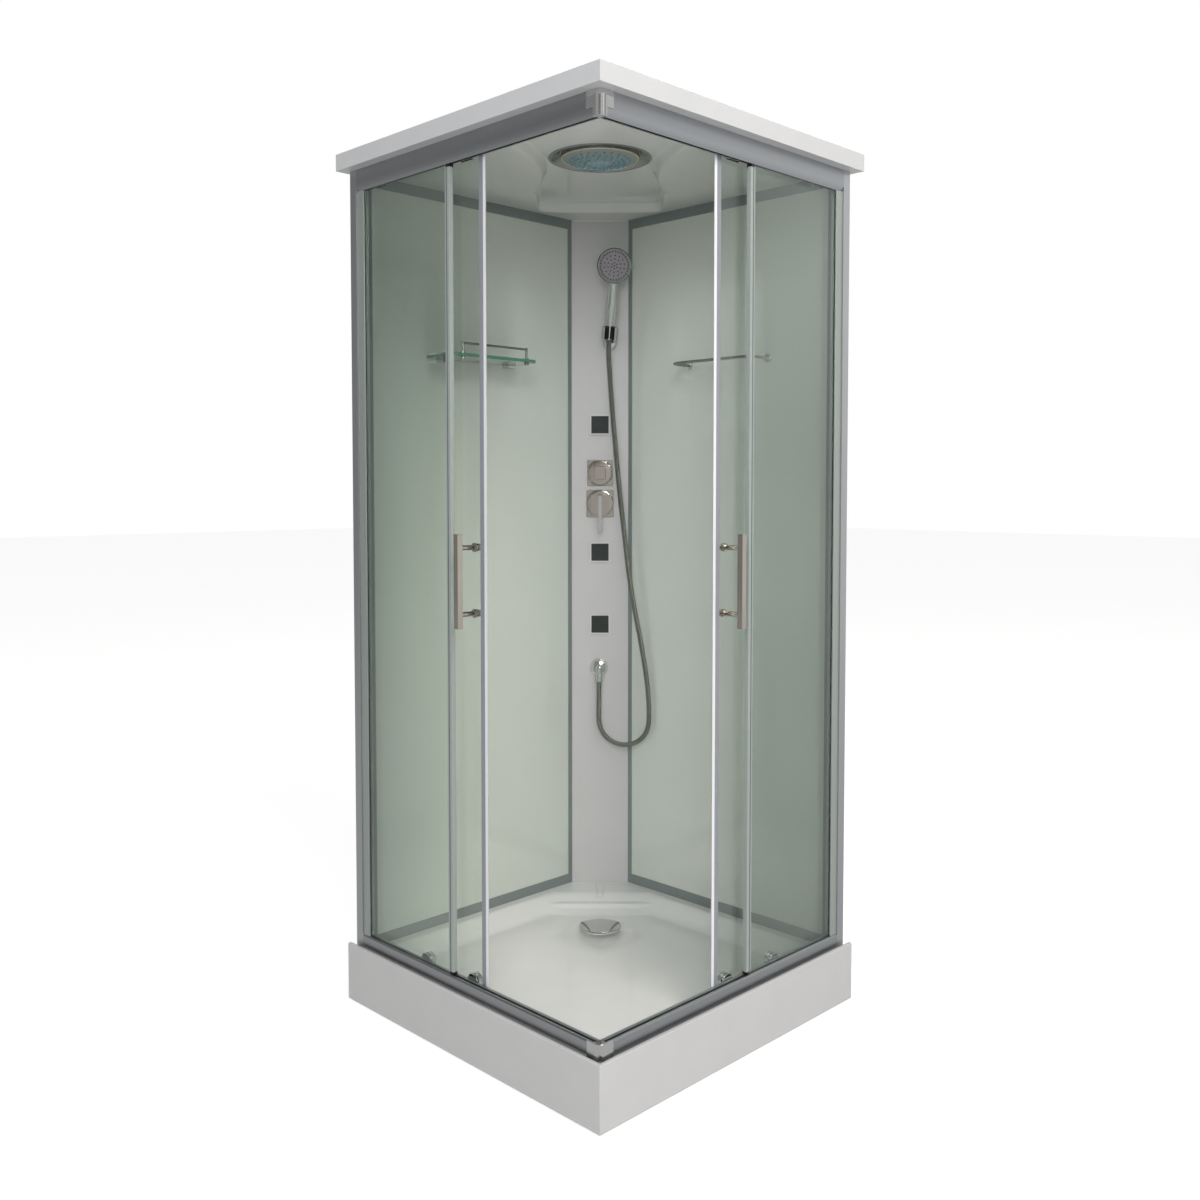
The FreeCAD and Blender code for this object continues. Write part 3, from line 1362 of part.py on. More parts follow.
def make_outlet():
    """Wall elbow that feeds the hose: a round flange, a short reach and a drop."""
    x, z = -dim.outlet_offset, outlet_level
    back = column_back
    tip = back - dim.elbow_reach
    disc = rod("outlet_flange", dim.outlet_disc, (x, back - dim.outlet_disc_thick, z),
               dim.outlet_disc_thick, "y")
    tail = rod("outlet_tail", dim.elbow_radius, (x, tip, z),
               dim.elbow_reach + dim.column_sheet, "y")
    ball = place(bind(doc.addObject("Part::Sphere", "outlet_ball"), Radius=dim.elbow_radius), x, tip, z)
    drop = rod("outlet_drop", dim.elbow_radius - dim.fit, (x, tip, z - dim.elbow_drop), dim.elbow_drop)
    node("hose_outlet", on_diagonal("outlet", fuse("outlet_solid", disc, tail, ball, drop)))


def handset_frame(name, *pieces):
    """Pieces drawn about the handle's axis, with the spray face towards -Y, leaned into place."""
    result = group(name, *pieces)
    lean = Rotation(Vector(0, 1, 0), float(dim.handset_lean))
    tilt = Rotation(Vector(1, 0, 0), float(dim.handset_tilt))
    place(result, dim.handset_offset, column_back - dim.handset_stand, handset_level,
          tilt.multiply(lean))
    return result


FACING = Rotation(Vector(1, 0, 0), 90)


def make_handset():
    """Hand shower: handle and head in one shell, spray face, and the selector ring with its nub."""
    length = dim.handset_handle
    handle = turned("handset_grip", [
        (0, 0), (dim.handle_foot, 0), (dim.handle_swell, dim.handle_foot / 2),
        (dim.handle_swell, length / 3), (dim.handle_waist, length * 3 / 4),
        (dim.handle_waist, length), (0, length)])
    curve = (dim.head_radius * dim.head_radius + dim.head_back * dim.head_back) / dim.head_back / 2
    head = turned("handset_shell", [
        (0, -dim.head_back), (dim.head_radius, 0, curve), (dim.head_radius, dim.head_front),
        (0, dim.head_front)])
    place(head, 0, -dim.head_forward, dim.handset_head, FACING)
    node("hand_shower", on_diagonal("handset", handset_frame("handset_leaned", fuse(
        "handset_solid", handle, head))))
    face = turned("spray_disc", [
        (0, dim.head_front), (dim.spray_radius, dim.head_front),
        (dim.spray_radius, dim.head_front + dim.spray_thick),
        (0, dim.head_front + dim.spray_thick)])
    place(face, 0, -dim.head_forward, dim.handset_head, FACING)
    node("spray_face", on_diagonal("spray", handset_frame("spray_leaned", face)))
    inner = dim.spray_radius + dim.fit
    base = dim.head_front + dim.fit
    ring = turned("selector_ring", [
        (inner, base), (dim.head_radius, base), (dim.head_radius, base + dim.ring_thick / 2),
        (dim.head_radius - dim.ring_thick / 2, base + dim.ring_thick), (inner, base + dim.ring_thick)])
    place(ring, 0, -dim.head_forward, dim.handset_head, FACING)
    nub = block("selector_nub", (dim.head_radius - dim.nub_reach / 2, dim.head_radius + dim.nub_reach),
                (-dim.head_forward - base - dim.ring_thick / 2, -dim.head_forward - base),
                (dim.handset_head - dim.nub_width / 2, dim.handset_head + dim.nub_width / 2))
    node("spray_selector", on_diagonal("selector", handset_frame("selector_leaned", fuse(
        "selector_solid", ring, nub))))


def make_holder():
    """Wall holder: domed base, arm and split sleeve, lined with two black jaws."""
    top = -dim.fit * 4
    low = top - dim.jaw_height
    ring = turned("jaw_ring", [
        (dim.jaw_bore, low), (dim.jaw_radius, low), (dim.jaw_radius, top), (dim.jaw_bore, top)])
    slot = dim.jaw_slot / 2
    gap = block("jaw_gap", (-slot, slot), (-dim.sleeve_radius * 2, dim.sleeve_radius * 2),
                (low - dim.overrun, top + dim.overrun))
    node("holder_jaws", on_diagonal("jaws", handset_frame("jaws_leaned", cut("jaws_split", ring, gap))))
    sleeve = turned("holder_sleeve", [
        (0, low), (dim.sleeve_radius, low), (dim.sleeve_radius, top), (0, top)])
    bore = turned("holder_bore", [
        (0, low), (dim.jaw_radius + dim.fit / 2, low), (dim.jaw_radius + dim.fit / 2, top), (0, top)])
    wide = dim.sleeve_slot / 2
    mouth = block("holder_mouth", (-wide, wide), (-dim.sleeve_radius * 2, 0),
                  (low - dim.overrun, top + dim.overrun))
    x, back = dim.handset_offset, column_back
    level = handset_level - dim.holder_base_drop
    base = turned("holder_dome", [
        (0, 0), (dim.holder_base, 0), (dim.holder_base, dim.holder_base_depth - dim.holder_round),
        (dim.holder_base - dim.holder_round, dim.holder_base_depth, dim.holder_round),
        (0, dim.holder_base_depth)])
    place(base, x, back, level, FACING)
    arm_level = handset_level - dim.jaw_height / 2
    arm = rod("holder_arm_rod", dim.holder_arm, (x, back - dim.handset_stand, arm_level),
              dim.handset_stand, "y")
    web = block("holder_web", (x - dim.holder_arm, x + dim.holder_arm),
                (back - dim.holder_base_depth / 2, back), (level, arm_level))
    solid = fuse("holder_solid", handset_frame("sleeve_leaned", sleeve), base, arm, web)
    node("shower_holder", on_diagonal("holder", cut(
        "holder_hollow", solid, handset_frame("bore_leaned", bore),
        handset_frame("mouth_leaned", mouth))))


def handset_point(drop):
    """A point on the handle's axis, a distance below the handle's foot."""
    lean = Rotation(Vector(0, 1, 0), float(dim.handset_lean))
    tilt = Rotation(Vector(1, 0, 0), float(dim.handset_tilt))
    base = Vector(float(dim.handset_offset), float(column_back - dim.handset_stand),
                  float(handset_level))
    return base + tilt.multiply(lean).multVec(Vector(0, 0, -drop))


# The hose's route from the hand shower down to the outlet: how far across the column, as a share
# of the swing; how far out from it, as a share of the stand-off; and how high between its two ends
HOSE_SHARES = [
    (0.196, 0.380, 0.9057),
    (0.232, 0.353, 0.8285),
    (0.286, 0.347, 0.7432),
    (0.346, 0.367, 0.6417),
    (0.414, 0.387, 0.5402),
    (0.500, 0.413, 0.4386),
    (0.575, 0.487, 0.3371),
    (0.689, 0.633, 0.2285),
    (0.850, 0.807, 0.1117),
    (0.961, 0.947, 0.0122),
    (1.004, 1.007, -0.0640),
    (1.000, 0.993, -0.1323),
    (0.803, 0.880, -0.1708),
    (0.484, 0.699, -0.1855),
    (0.166, 0.517, -0.1708),
    (-0.031, 0.408, -0.1323),
]
# How far each of a rib's four edges lies along its pitch
RIB_SHARES = (0.1, 0.3, 0.7, 0.9)


def hose_points():
    """The whole route, from nut to nut."""
    start = handset_point(float(dim.hose_nut))
    below = handset_point(float(dim.hose_nut + dim.hose_lead))
    end = spot(-dim.outlet_offset, column_back - dim.elbow_reach,
               outlet_level - dim.elbow_drop - dim.hose_nut / 2)
    last = end - Vector(0, 0, float(dim.hose_rise))
    swing, stand, back = float(dim.hose_swing), float(dim.hose_stand), float(column_back)
    route = [Vector(across * swing, back - out * stand, end.z + high * (start.z - end.z))
             for across, out, high in HOSE_SHARES]
    return [start, below] + route + [last, end]


def ring_along(path, distance, radius):
    """A circle square to a path, a distance along it, with its X axis held steady."""
    for edge in path.Edges:
        if distance <= edge.Length or edge.isSame(path.Edges[-1]):
            break
        distance -= edge.Length
    at = edge.getParameterByLength(min(distance, edge.Length))
    circle = Part.Circle(edge.valueAt(at), edge.tangentAt(at), radius)
    circle.XAxis = edge.tangentAt(at).cross(Vector(0, 1, 0))
    return Part.Wire([circle.toShape()])


def ribbed_tube(name, points, radii):
    """A hose along a route: a row of ribs between two plain ends, with its bore."""
    path = tube_path(points, radii)
    radius, groove = float(dim.hose_radius), float(dim.hose_radius - dim.rib_depth)
    plain = 2 * radius
    ribs = round((path.Length - 2 * plain) / float(dim.rib_pitch))
    pitch = (path.Length - 2 * plain) / ribs
    stations = [(0, groove)]
    for number in range(ribs):
        for share, size in zip(RIB_SHARES, (groove, radius, radius, groove)):
            stations.append((plain + (number + share) * pitch, size))
    stations.append((path.Length, groove))
    outside = Part.makeLoft([ring_along(path, along, size) for along, size in stations], True, True)
    bore = path.makePipeShell([ring_along(path, 0, float(dim.hose_bore))], True, False)
    piece = doc.addObject("Part::Feature", name)
    piece.Shape = outside.cut(bore)
    rib_area = math.pi * sum(
        (after[0] - before[0]) * (before[1] ** 2 + before[1] * after[1] + after[1] ** 2) / 3
        for before, after in zip(stations, stations[1:]))
    bore_area = math.pi * float(dim.hose_bore) ** 2 * path.Length
    print(name, "length", round(path.Length, 1), "ribs", ribs, "volume",
          round(piece.Shape.Volume, 1), "section x length", round(rib_area - bore_area, 1))
    return piece


def make_hose():
    """Free hose from the hand shower to the outlet, and the nuts on its two ends."""
    points = hose_points()
    radii = []
    for before, corner, after in zip(points, points[1:], points[2:]):
        turn = math.pi - (before - corner).getAngle(after - corner)
        run = min((before - corner).Length, (after - corner).Length)
        radii.append(0.49 * run / math.tan(turn / 2))
    print("hose radii", [round(radius) for radius in radii])
    print("hose runs", [round((b - a).Length) for a, b in zip(points, points[1:])])
    node("shower_hose", on_diagonal("hose", ribbed_tube("hose_tube", points, radii)))
    top_nut = cone("nut_cone", dim.nut_foot, dim.nut_top, dim.hose_nut)
    place(top_nut, 0, 0, -dim.hose_nut)
    level = outlet_level - dim.elbow_drop - dim.hose_nut / 2
    low_nut = rod("nut_low", dim.nut_top, (-dim.outlet_offset, column_back - dim.elbow_reach, level),
                  dim.hose_nut / 2)
    node("hose_nuts", on_diagonal("nuts", handset_frame("nut_leaned", top_nut), low_nut))


def make_shelf():
    """Glass shelf on the left panel with a chrome gallery."""
    wall = -panel_face - dim.panel_lip
    back = -panel_face
    front = back + dim.shelf_depth
    low = ceiling_level - dim.shelf_drop
    high = low + dim.shelf_thick
    plate = prism("shelf_plate", "XY_Plane", [
        (back, -dim.shelf_front_reach), (front, -dim.shelf_front_reach), (front, dim.shelf_back_reach),
        (back, dim.shelf_back_reach)], low, high)
    rounded(plate, dim.shelf_round,
            lambda edge: upright(edge) and edge.CenterOfMass.x > float(front) - float(dim.fit))
    line = front - dim.gallery_setback
    posts, holes = [], []
    for number, y in enumerate((-dim.gallery_front_reach, dim.gallery_back_reach), start=1):
        foot = low - dim.gallery_nut
        posts.append(rod(f"gallery_post_{number}", dim.gallery_post, (line, y, foot),
                         dim.gallery_nut + dim.shelf_thick + dim.gallery_rise))
        posts.append(rod(f"gallery_nut_{number}", dim.gallery_collar, (line, y, foot),
                         dim.gallery_nut))
        posts.append(rod(f"gallery_collar_{number}", dim.gallery_collar, (line, y, high),
                         dim.gallery_collar_height))
        holes.append(rod(f"shelf_hole_{number}", dim.gallery_post + dim.fit,
                         (line, y, low - dim.overrun), dim.shelf_thick + dim.overrun * 2))
    posts.append(rod("gallery_rail_rod", dim.gallery_rail,
                     (line, -dim.gallery_front_reach, high + dim.gallery_rise - dim.gallery_collar_height),
                     dim.gallery_front_reach + dim.gallery_back_reach, "y"))
    node("shelf_glass", cut("shelf", plate, *holes))
    node("shelf_gallery", fuse("gallery", *posts))
    mounts = []
    middle = (low + high) / 2
    for number, y in enumerate((-dim.bracket_front_reach, dim.bracket_back_reach), start=1):
        wide = dim.bracket_width / 2
        body = block(f"bracket_{number}", (wall, wall + dim.bracket_depth), (y - wide, y + wide),
                     (middle - dim.bracket_height / 2, middle + dim.bracket_height / 2))
        slot = block(f"bracket_slot_{number}", (back, wall + dim.bracket_depth + dim.overrun),
                     (y - wide - dim.overrun, y + wide + dim.overrun), (low, high))
        mounts.append(cut(f"bracket_cut_{number}", body, slot))
    wall_y = panel_face + dim.panel_lip
    for number, x in enumerate((-dim.bar_back_reach, dim.bar_front_reach), start=1):
        mounts.append(rod(f"rosette_{number}", dim.rosette_radius,
                          (x, wall_y - dim.rosette_depth, ceiling_level - dim.bar_drop),
                          dim.rosette_depth, "y"))
    node("accessory_mounts", group("mounts", *mounts))


def make_towel_bar():
    """Thin chrome bar bent into a U between two rosettes on the right panel."""
    end = float(panel_face + dim.panel_lip - dim.rosette_depth)
    front = float(panel_face + dim.panel_lip - dim.bar_reach)
    left, right = -float(dim.bar_back_reach), float(dim.bar_front_reach)
    level = float(ceiling_level - dim.bar_drop)
    points = [Vector(left, end, level), Vector(left, front, level), Vector(right, front, level),
              Vector(right, end, level)]
    node("towel_bar", bent_tube("towel_rail", points, [float(dim.bar_bend)] * 2,
                                float(dim.bar_radius)))


make_tray()
make_apron()
make_support()
make_waste()
make_rails()
make_connectors()
make_wall_posts()
make_fixed_panes()
make_doors()
make_carriers()
make_handles()
make_panels()
make_column()
make_ceiling()
make_roof()
make_screws()
make_overhead()
make_jets()
make_diverter()
make_mixer()
make_valve()
make_pipes()
make_outlet()
make_handset()
make_holder()
make_hose()
make_shelf()
make_towel_bar()

doc.recompute()
faults = [item.Name for item in doc.Objects if {"Invalid", "Error"} & set(item.State)]
for name, piece in nodes.items():
    shape = piece.Shape
    if shape.isNull() or not shape.isValid() or not shape.Solids or shape.Volume <= 0:
        faults.append(name)
if faults:
    raise RuntimeError(f"these did not build: {faults}")
for name, piece in nodes.items():
    piece.Shape.exportStep(f"parts/{name}.step")
print(len(nodes), "sub-parts,", sum(len(piece.Shape.Solids) for piece in nodes.values()), "solids")
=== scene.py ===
import json
import math

import bmesh
import bpy
import numpy as np
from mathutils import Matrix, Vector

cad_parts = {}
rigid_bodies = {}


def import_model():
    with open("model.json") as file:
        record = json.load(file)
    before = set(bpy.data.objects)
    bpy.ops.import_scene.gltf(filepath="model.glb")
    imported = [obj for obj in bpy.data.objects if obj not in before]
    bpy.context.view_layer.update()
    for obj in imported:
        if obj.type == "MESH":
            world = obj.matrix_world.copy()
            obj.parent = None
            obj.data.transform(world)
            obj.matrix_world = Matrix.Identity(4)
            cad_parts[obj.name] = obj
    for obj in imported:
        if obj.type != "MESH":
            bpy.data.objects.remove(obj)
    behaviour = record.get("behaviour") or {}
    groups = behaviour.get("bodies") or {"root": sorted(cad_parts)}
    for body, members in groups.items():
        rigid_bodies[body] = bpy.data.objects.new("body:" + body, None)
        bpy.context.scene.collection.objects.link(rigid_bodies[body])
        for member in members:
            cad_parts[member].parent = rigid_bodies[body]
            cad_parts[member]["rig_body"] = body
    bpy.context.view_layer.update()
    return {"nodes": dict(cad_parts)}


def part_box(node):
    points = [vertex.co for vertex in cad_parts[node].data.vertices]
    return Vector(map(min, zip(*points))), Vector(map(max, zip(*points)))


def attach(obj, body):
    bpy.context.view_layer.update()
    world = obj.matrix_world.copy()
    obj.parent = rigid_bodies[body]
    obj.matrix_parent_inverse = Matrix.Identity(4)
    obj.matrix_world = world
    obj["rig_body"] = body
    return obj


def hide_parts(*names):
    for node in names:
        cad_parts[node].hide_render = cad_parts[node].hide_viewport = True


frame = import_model()

# Corner-entry shower cabin. Lengths are in metres in the frame's own axes: +Z up, glazed sides
# towards -Y and +X, the column across the back corner (-X, +Y).
MM = 0.001
ROOT_TWO = math.sqrt(2)


def into_corner(points):
    """Points with x across the column, y towards the back corner and z up, turned into the cabin.

    The turn is 45 degrees: X = (x - y) / root 2 and Y = (x + y) / root 2.
    """
    x, y, z = np.moveaxis(np.asarray(points, float), -1, 0)
    return np.stack([(x - y) / ROOT_TWO, (x + y) / ROOT_TWO, z], axis=-1)


def from_corner(points):
    """The turn of into_corner undone: x across the column, y towards the back corner, z up."""
    x, y, z = np.moveaxis(np.asarray(points, float), -1, 0)
    return np.stack([(x + y) / ROOT_TWO, (y - x) / ROOT_TWO, z], axis=-1)


def linear(colour):
    """An sRGB hex colour as linear red, green, blue and alpha."""
    parts = np.array([int(colour[at:at + 2], 16) for at in (0, 2, 4)]) / 255
    parts = np.where(parts <= 0.04045, parts / 12.92, ((parts + 0.055) / 1.055) ** 2.4)
    return (*parts.tolist(), 1.0)


# Meshes

def add_piece(name, mesh, body, *nodes):
    """An object at the origin that rides on a body and stands for the given nodes."""
    piece = bpy.data.objects.new(name, mesh)
    bpy.context.scene.collection.objects.link(piece)
    if nodes:
        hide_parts(*nodes)
    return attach(piece, body)


def close_up(mesh, sharp=30):
    """Merges doubled points, turns the faces outwards and smooths what isn't a sharp edge."""
    work = bmesh.new()
    work.from_mesh(mesh)
    bmesh.ops.remove_doubles(work, verts=work.verts, dist=0.002 * MM)
    bmesh.ops.recalc_face_normals(work, faces=work.faces)
    work.to_mesh(mesh)
    work.free()
    mesh.shade_smooth()
    mesh.set_sharp_from_angle(angle=math.radians(sharp))
    return mesh


def grid_faces(rows, columns, wrap_rows=False):
    """Point numbers of a grid's faces, one between each four neighbours; the columns close round.

    Where the rows wrap, the last is joined to the first.
    """
    numbers = np.arange(rows * columns).reshape(rows, columns)
    if wrap_rows:
        numbers = np.vstack([numbers, numbers[:1]])
    numbers = np.hstack([numbers, numbers[:, :1]])
    return np.stack([numbers[:-1, :-1], numbers[:-1, 1:], numbers[1:, 1:], numbers[1:, :-1]],
                    axis=-1).reshape(-1, 4)


def surface(name, points, wrap_rows=False):
    """A mesh on a grid of points (rows, columns, 3)."""
    mesh = bpy.data.meshes.new(name)
    mesh.from_pydata(points.reshape(-1, 3), [], grid_faces(*points.shape[:2], wrap_rows))
    return mesh


def turned_points(profile, steps=96):
    """Points of a turned shape about Z: (radius cos a, radius sin a, height) at each step of a."""
    profile = np.asarray(profile, float)
    angles = np.linspace(0, 2 * math.pi, steps, endpoint=False)
    radius, height = profile[:, :1], profile[:, 1:]
    return np.stack([radius * np.cos(angles), radius * np.sin(angles),
                     height + 0 * angles], axis=-1)


def rounded_profile(corners, cut=0.3, steps=5):
    """A (radius, height) line with each inner corner replaced by a parabola.

    The corner is (u, v, reach); the parabola starts and ends that reach away from it.
    """
    line = [corners[0][:2]]
    for before, corner, after in zip(corners, corners[1:], corners[2:]):
        at = np.array(corner[:2], float)
        reach = corner[2] if len(corner) > 2 else cut
        start = np.array(before[:2]) - at
        end = np.array(after[:2]) - at
        start = at + start / np.linalg.norm(start) * min(reach, np.linalg.norm(start) / 2)
        end = at + end / np.linalg.norm(end) * min(reach, np.linalg.norm(end) / 2)
        t = np.linspace(0, 1, steps)[:, None]
        line += ((1 - t) ** 2 * start + 2 * t * (1 - t) * at + t ** 2 * end).tolist()
    return line + [corners[-1][:2]]


def smooth_step(value):
    """0 below 0, 1 above 1, and 3 t^2 - 2 t^3 between."""
    t = np.clip(value, 0, 1)
    return t * t * (3 - 2 * t)


def soft_ramp(t, low_blend, high_blend):
    """A ramp from 0 at t = 0 to 1 at t = 1, with a parabola of the given half width at each end."""
    low = np.where(np.abs(t) < low_blend, (t + low_blend) ** 2 / (4 * low_blend), np.maximum(t, 0))
    over = t - 1
    high = np.where(np.abs(over) < high_blend, (over + high_blend) ** 2 / (4 * high_blend),
                    np.maximum(over, 0))
    return low - high


def studs(name, places, outward, profile):
    """Many small turned studs in one mesh: each stands at a place along its outward direction.

    A point is place + height * outward + radius * (cos a * side + sin a * up).
    """
    places, outward = np.asarray(places, float), np.asarray(outward, float)
    outward = outward / np.linalg.norm(outward, axis=-1, keepdims=True)
    side = np.cross(outward, [0.31, 0.52, 0.79])
    side = side / np.linalg.norm(side, axis=-1, keepdims=True)
    up = np.cross(outward, side)
    template = turned_points(profile, 10)
    points = (places[:, None, None] + template[None, ..., 2:] * outward[:, None, None]
              + template[None, ..., :1] * side[:, None, None]
              + template[None, ..., 1:2] * up[:, None, None])
    rows, columns = template.shape[:2]
    starts = np.arange(len(places)) * rows * columns
    faces = grid_faces(rows, columns)[None] + starts[:, None, None]
    mesh = bpy.data.meshes.new(name)
    mesh.from_pydata(points.reshape(-1, 3), [], faces.reshape(-1, 4))
    return close_up(mesh)


def softened(node, width, sharp=30):
    """A node's own solid with its edges rounded by a bevel, standing for the node."""
    source = frame["nodes"][node]
    mesh = source.data.copy()
    mesh.materials.clear()
    work = bmesh.new()
    work.from_mesh(mesh)
    bmesh.ops.remove_doubles(work, verts=work.verts, dist=0.002 * MM)
    bmesh.ops.dissolve_limit(work, angle_limit=math.radians(0.6), verts=work.verts,
                             edges=work.edges)
    work.to_mesh(mesh)
    work.free()
    mesh.shade_smooth()
    mesh.set_sharp_from_angle(angle=math.radians(sharp))
    piece = add_piece(f"{node}_finished", mesh, source["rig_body"], node)
    bevel = piece.modifiers.new("rounded edges", "BEVEL")
    bevel.width = width * MM
    bevel.segments = 2
    bevel.limit_method = "ANGLE"
    bevel.angle_limit = math.radians(sharp)
    normals = piece.modifiers.new("even shading", "WEIGHTED_NORMAL")
    normals.keep_sharp = True
    return piece


def slice_faces(mesh, planes):
    """Cuts the faces of a mesh along planes, each a place and a normal."""
    work = bmesh.new()
    work.from_mesh(mesh)
    for place, normal in planes:
        bmesh.ops.bisect_plane(work, geom=work.verts[:] + work.edges[:] + work.faces[:],
                               plane_co=place, plane_no=normal)
    work.to_mesh(mesh)
    work.free()


def face_centres(piece):
    """The middles of a piece's faces, in millimetres."""
    return np.array([polygon.center for polygon in piece.data.polygons]) / MM


def choose_materials(piece, chosen):
    """Gives each face the material whose number is chosen for it."""
    piece.data.polygons.foreach_set("material_index", chosen.astype(np.int32))


# Materials

def add_node(tree, kind, inputs=None, **settings):
    """Adds one node: settings are its properties, inputs are values or other nodes' outputs."""
    added = tree.nodes.new(kind)
    for name, value in settings.items():
        setattr(added, name, value)
    for name, value in (inputs or {}).items():
        if isinstance(value, bpy.types.NodeSocket):
            tree.links.new(value, added.inputs[name])
        else:
            added.inputs[name].default_value = value
    return added


def maths(tree, operation, *values):
    """The result of one arithmetic node."""
    return add_node(tree, "ShaderNodeMath", dict(enumerate(values)),
                    operation=operation).outputs["Value"]


def mapped(tree, value, start, end, low, high, **settings):
    """A value between start and end as one between low and high."""
    limits = {"Value": value, "From Min": start, "From Max": end, "To Min": low, "To Max": high}
    return add_node(tree, "ShaderNodeMapRange", limits, **settings).outputs["Result"]


def new_material(name, **sockets):
    """A material with one Principled shader whose even values are set on its own sockets."""
    made = bpy.data.materials.new(name)
    made.use_nodes = True
    shader = made.node_tree.nodes["Principled BSDF"]
    for socket, value in sockets.items():
        shader.inputs[socket.replace("_", " ").title().replace("Ior", "IOR")].default_value = value
    return made, made.node_tree, shader


def pattern(tree, size, detail=2.0, stretch=(1, 1, 1)):
    """Noise whose marks are about size millimetres, or longer along an axis of small stretch."""
    place = add_node(tree, "ShaderNodeTexCoord")
    mapping = add_node(tree, "ShaderNodeMapping", {"Vector": place.outputs["Object"],
                                                   "Scale": stretch})
    noise = add_node(tree, "ShaderNodeTexNoise", {"Vector": mapping.outputs["Vector"],
                                                  "Scale": 1 / (size * MM), "Detail": detail})
    return noise.outputs["Fac"]


def vary(tree, shader, socket, factor, low, high):
    """Drives a socket by a pattern, from low to high."""
    tree.links.new(mapped(tree, factor, 0.3, 0.7, low, high), shader.inputs[socket])


def tint(tree, shader, factor, first, second):
    """Mixes two colours by a pattern into the base colour."""
    mix = add_node(tree, "ShaderNodeMix", {0: factor, 6: linear(first), 7: linear(second)},
                   data_type="RGBA")
    tree.links.new(mix.outputs[2], shader.inputs["Base Color"])


def relief(tree, shader, height, depth, strength=1.0):
    """Bump from a pattern; depth is in millimetres."""
    bump = add_node(tree, "ShaderNodeBump", {"Height": height, "Distance": depth * MM,
                                             "Strength": strength})
    tree.links.new(bump.outputs["Normal"], shader.inputs["Normal"])


def acrylic(name, first, second, gloss=0.06):
    """Vacuum-formed acrylic: hard gloss, faint waves from the mould, a very slight cloudiness."""
    made, tree, shader = new_material(name, ior=1.49)
    tint(tree, shader, pattern(tree, 90), first, second)
    vary(tree, shader, "Roughness", pattern(tree, 25), gloss, gloss * 1.6)
    relief(tree, shader, pattern(tree, 14), 0.06, 0.25)
    return made


def anodised(name, stretch, colour=("AAADB0", "B8BBBE"), gloss=0.3, metal=1.0):
    """Extruded aluminium, satin anodised: draw lines along the bar, 1.5 mm so that they show."""
    made, tree, shader = new_material(name, metallic=metal)
    lines = pattern(tree, 1.5, 1.0, stretch)
    tint(tree, shader, lines, *colour)
    vary(tree, shader, "Roughness", lines, gloss, gloss + 0.1)
    relief(tree, shader, lines, 0.02, 0.3)
    return made


def plated(name, first="D2D3D2", second="DADBD9", gloss=0.05):
    """Chrome plate on brass or ABS: a mirror with faint water marks that dull it in places."""
    made, tree, shader = new_material(name, metallic=1.0)
    tint(tree, shader, pattern(tree, 40), first, second)
    vary(tree, shader, "Roughness", pattern(tree, 20, 3.0), gloss, gloss + 0.03)
    return made


def moulded(name, first, second, gloss=0.4, grain=0.8, depth=0.03, **sockets):
    """Moulded plastic or rubber: even colour with a fine grain from the tool."""
    made, tree, shader = new_material(name, **sockets)
    tint(tree, shader, pattern(tree, 12), first, second)
    vary(tree, shader, "Roughness", pattern(tree, 6), gloss, gloss + 0.1)
    relief(tree, shader, pattern(tree, grain), depth, 0.4)
    return made


def float_glass(name, colour, **sockets):
    """Toughened float glass: clear with a slight green, and faint dried drops on its face."""
    made, tree, shader = new_material(name, ior=1.45, transmission_weight=1.0,
                                      base_color=linear(colour), **sockets)
    vary(tree, shader, "Roughness", pattern(tree, 30, 4.0), 0.0, 0.015)
    return made


ALONG_X, ALONG_Y, ALONG_Z = (0.004, 1, 1), (1, 0.004, 1), (1, 1, 0.004)

white_acrylic = acrylic("white_acrylic", "E6E6E4", "ECECEA")
# The apron is the tray's white acrylic written greyer: painted shade.
apron_acrylic_painted_shade = acrylic("apron_acrylic_painted_shade", "C2C2C2", "C9C9C8")
# The roof is white acrylic written greyer too: painted shade.
roof_acrylic_painted_shade = acrylic("roof_acrylic_painted_shade", "C6C7C8", "CECECF", 0.14)
ceiling_acrylic = acrylic("ceiling_acrylic", "E0E2DE", "E5E7E3", 0.05)
rail_x = anodised("anodised_aluminium_x", ALONG_X)
rail_y = anodised("anodised_aluminium_y", ALONG_Y)
post_z = anodised("anodised_aluminium_z", ALONG_Z, ("BCBFC1", "C8CACB"))
# The glass holder is the posts' aluminium written darker and greener: painted reflection.
holder_painted_reflection = anodised("glass_holder_painted_reflection", ALONG_Z, ("A2AAA5", "ADB4AF"), 0.36, 0.5)
panel_trim = anodised("anodised_panel_trim", ALONG_Z, ("8B9493", "969E9D"), 0.36, 0.3)
chrome = plated("chrome_plate")
# A warmer, darker copy of the chrome: the warm tint is painted reflection of the room.
warm_reflection_chrome = plated("chrome_painted_warm_reflection", "BDB6AC", "C6BFB5", 0.07)
steel_bar = plated("satin_steel", "8D918F", "9A9D9B", 0.2)
satin_ring = plated("satin_lacquered_ring", "A3A5A1", "AFB1AD", 0.24)
smoked_ring = plated("smoked_chrome_ring", "8B908C", "979C98", 0.18)
clear_glass = float_glass("toughened_glass", "F1F7F3")
glass_edge = float_glass("ground_glass_edge", "7FB8A2")
shelf_edge = moulded("ground_shelf_edge", "4A8A70", "5C9A82", 0.12)
nylon = moulded("white_nylon", "E6E5DF", "EFEEE9", 0.35)
pipe_plastic = moulded("polypropylene", "E2E2DF", "EAEAE8", 0.4)
black_rubber = moulded("black_rubber", "141516", "1E1F20", 0.5)
dark_abs = moulded("dark_abs", "2F3532", "383E3B", 0.36, 1.5, 0.05)
bezel_abs = moulded("pale_abs", "D9DADA", "E2E2E1", 0.3)
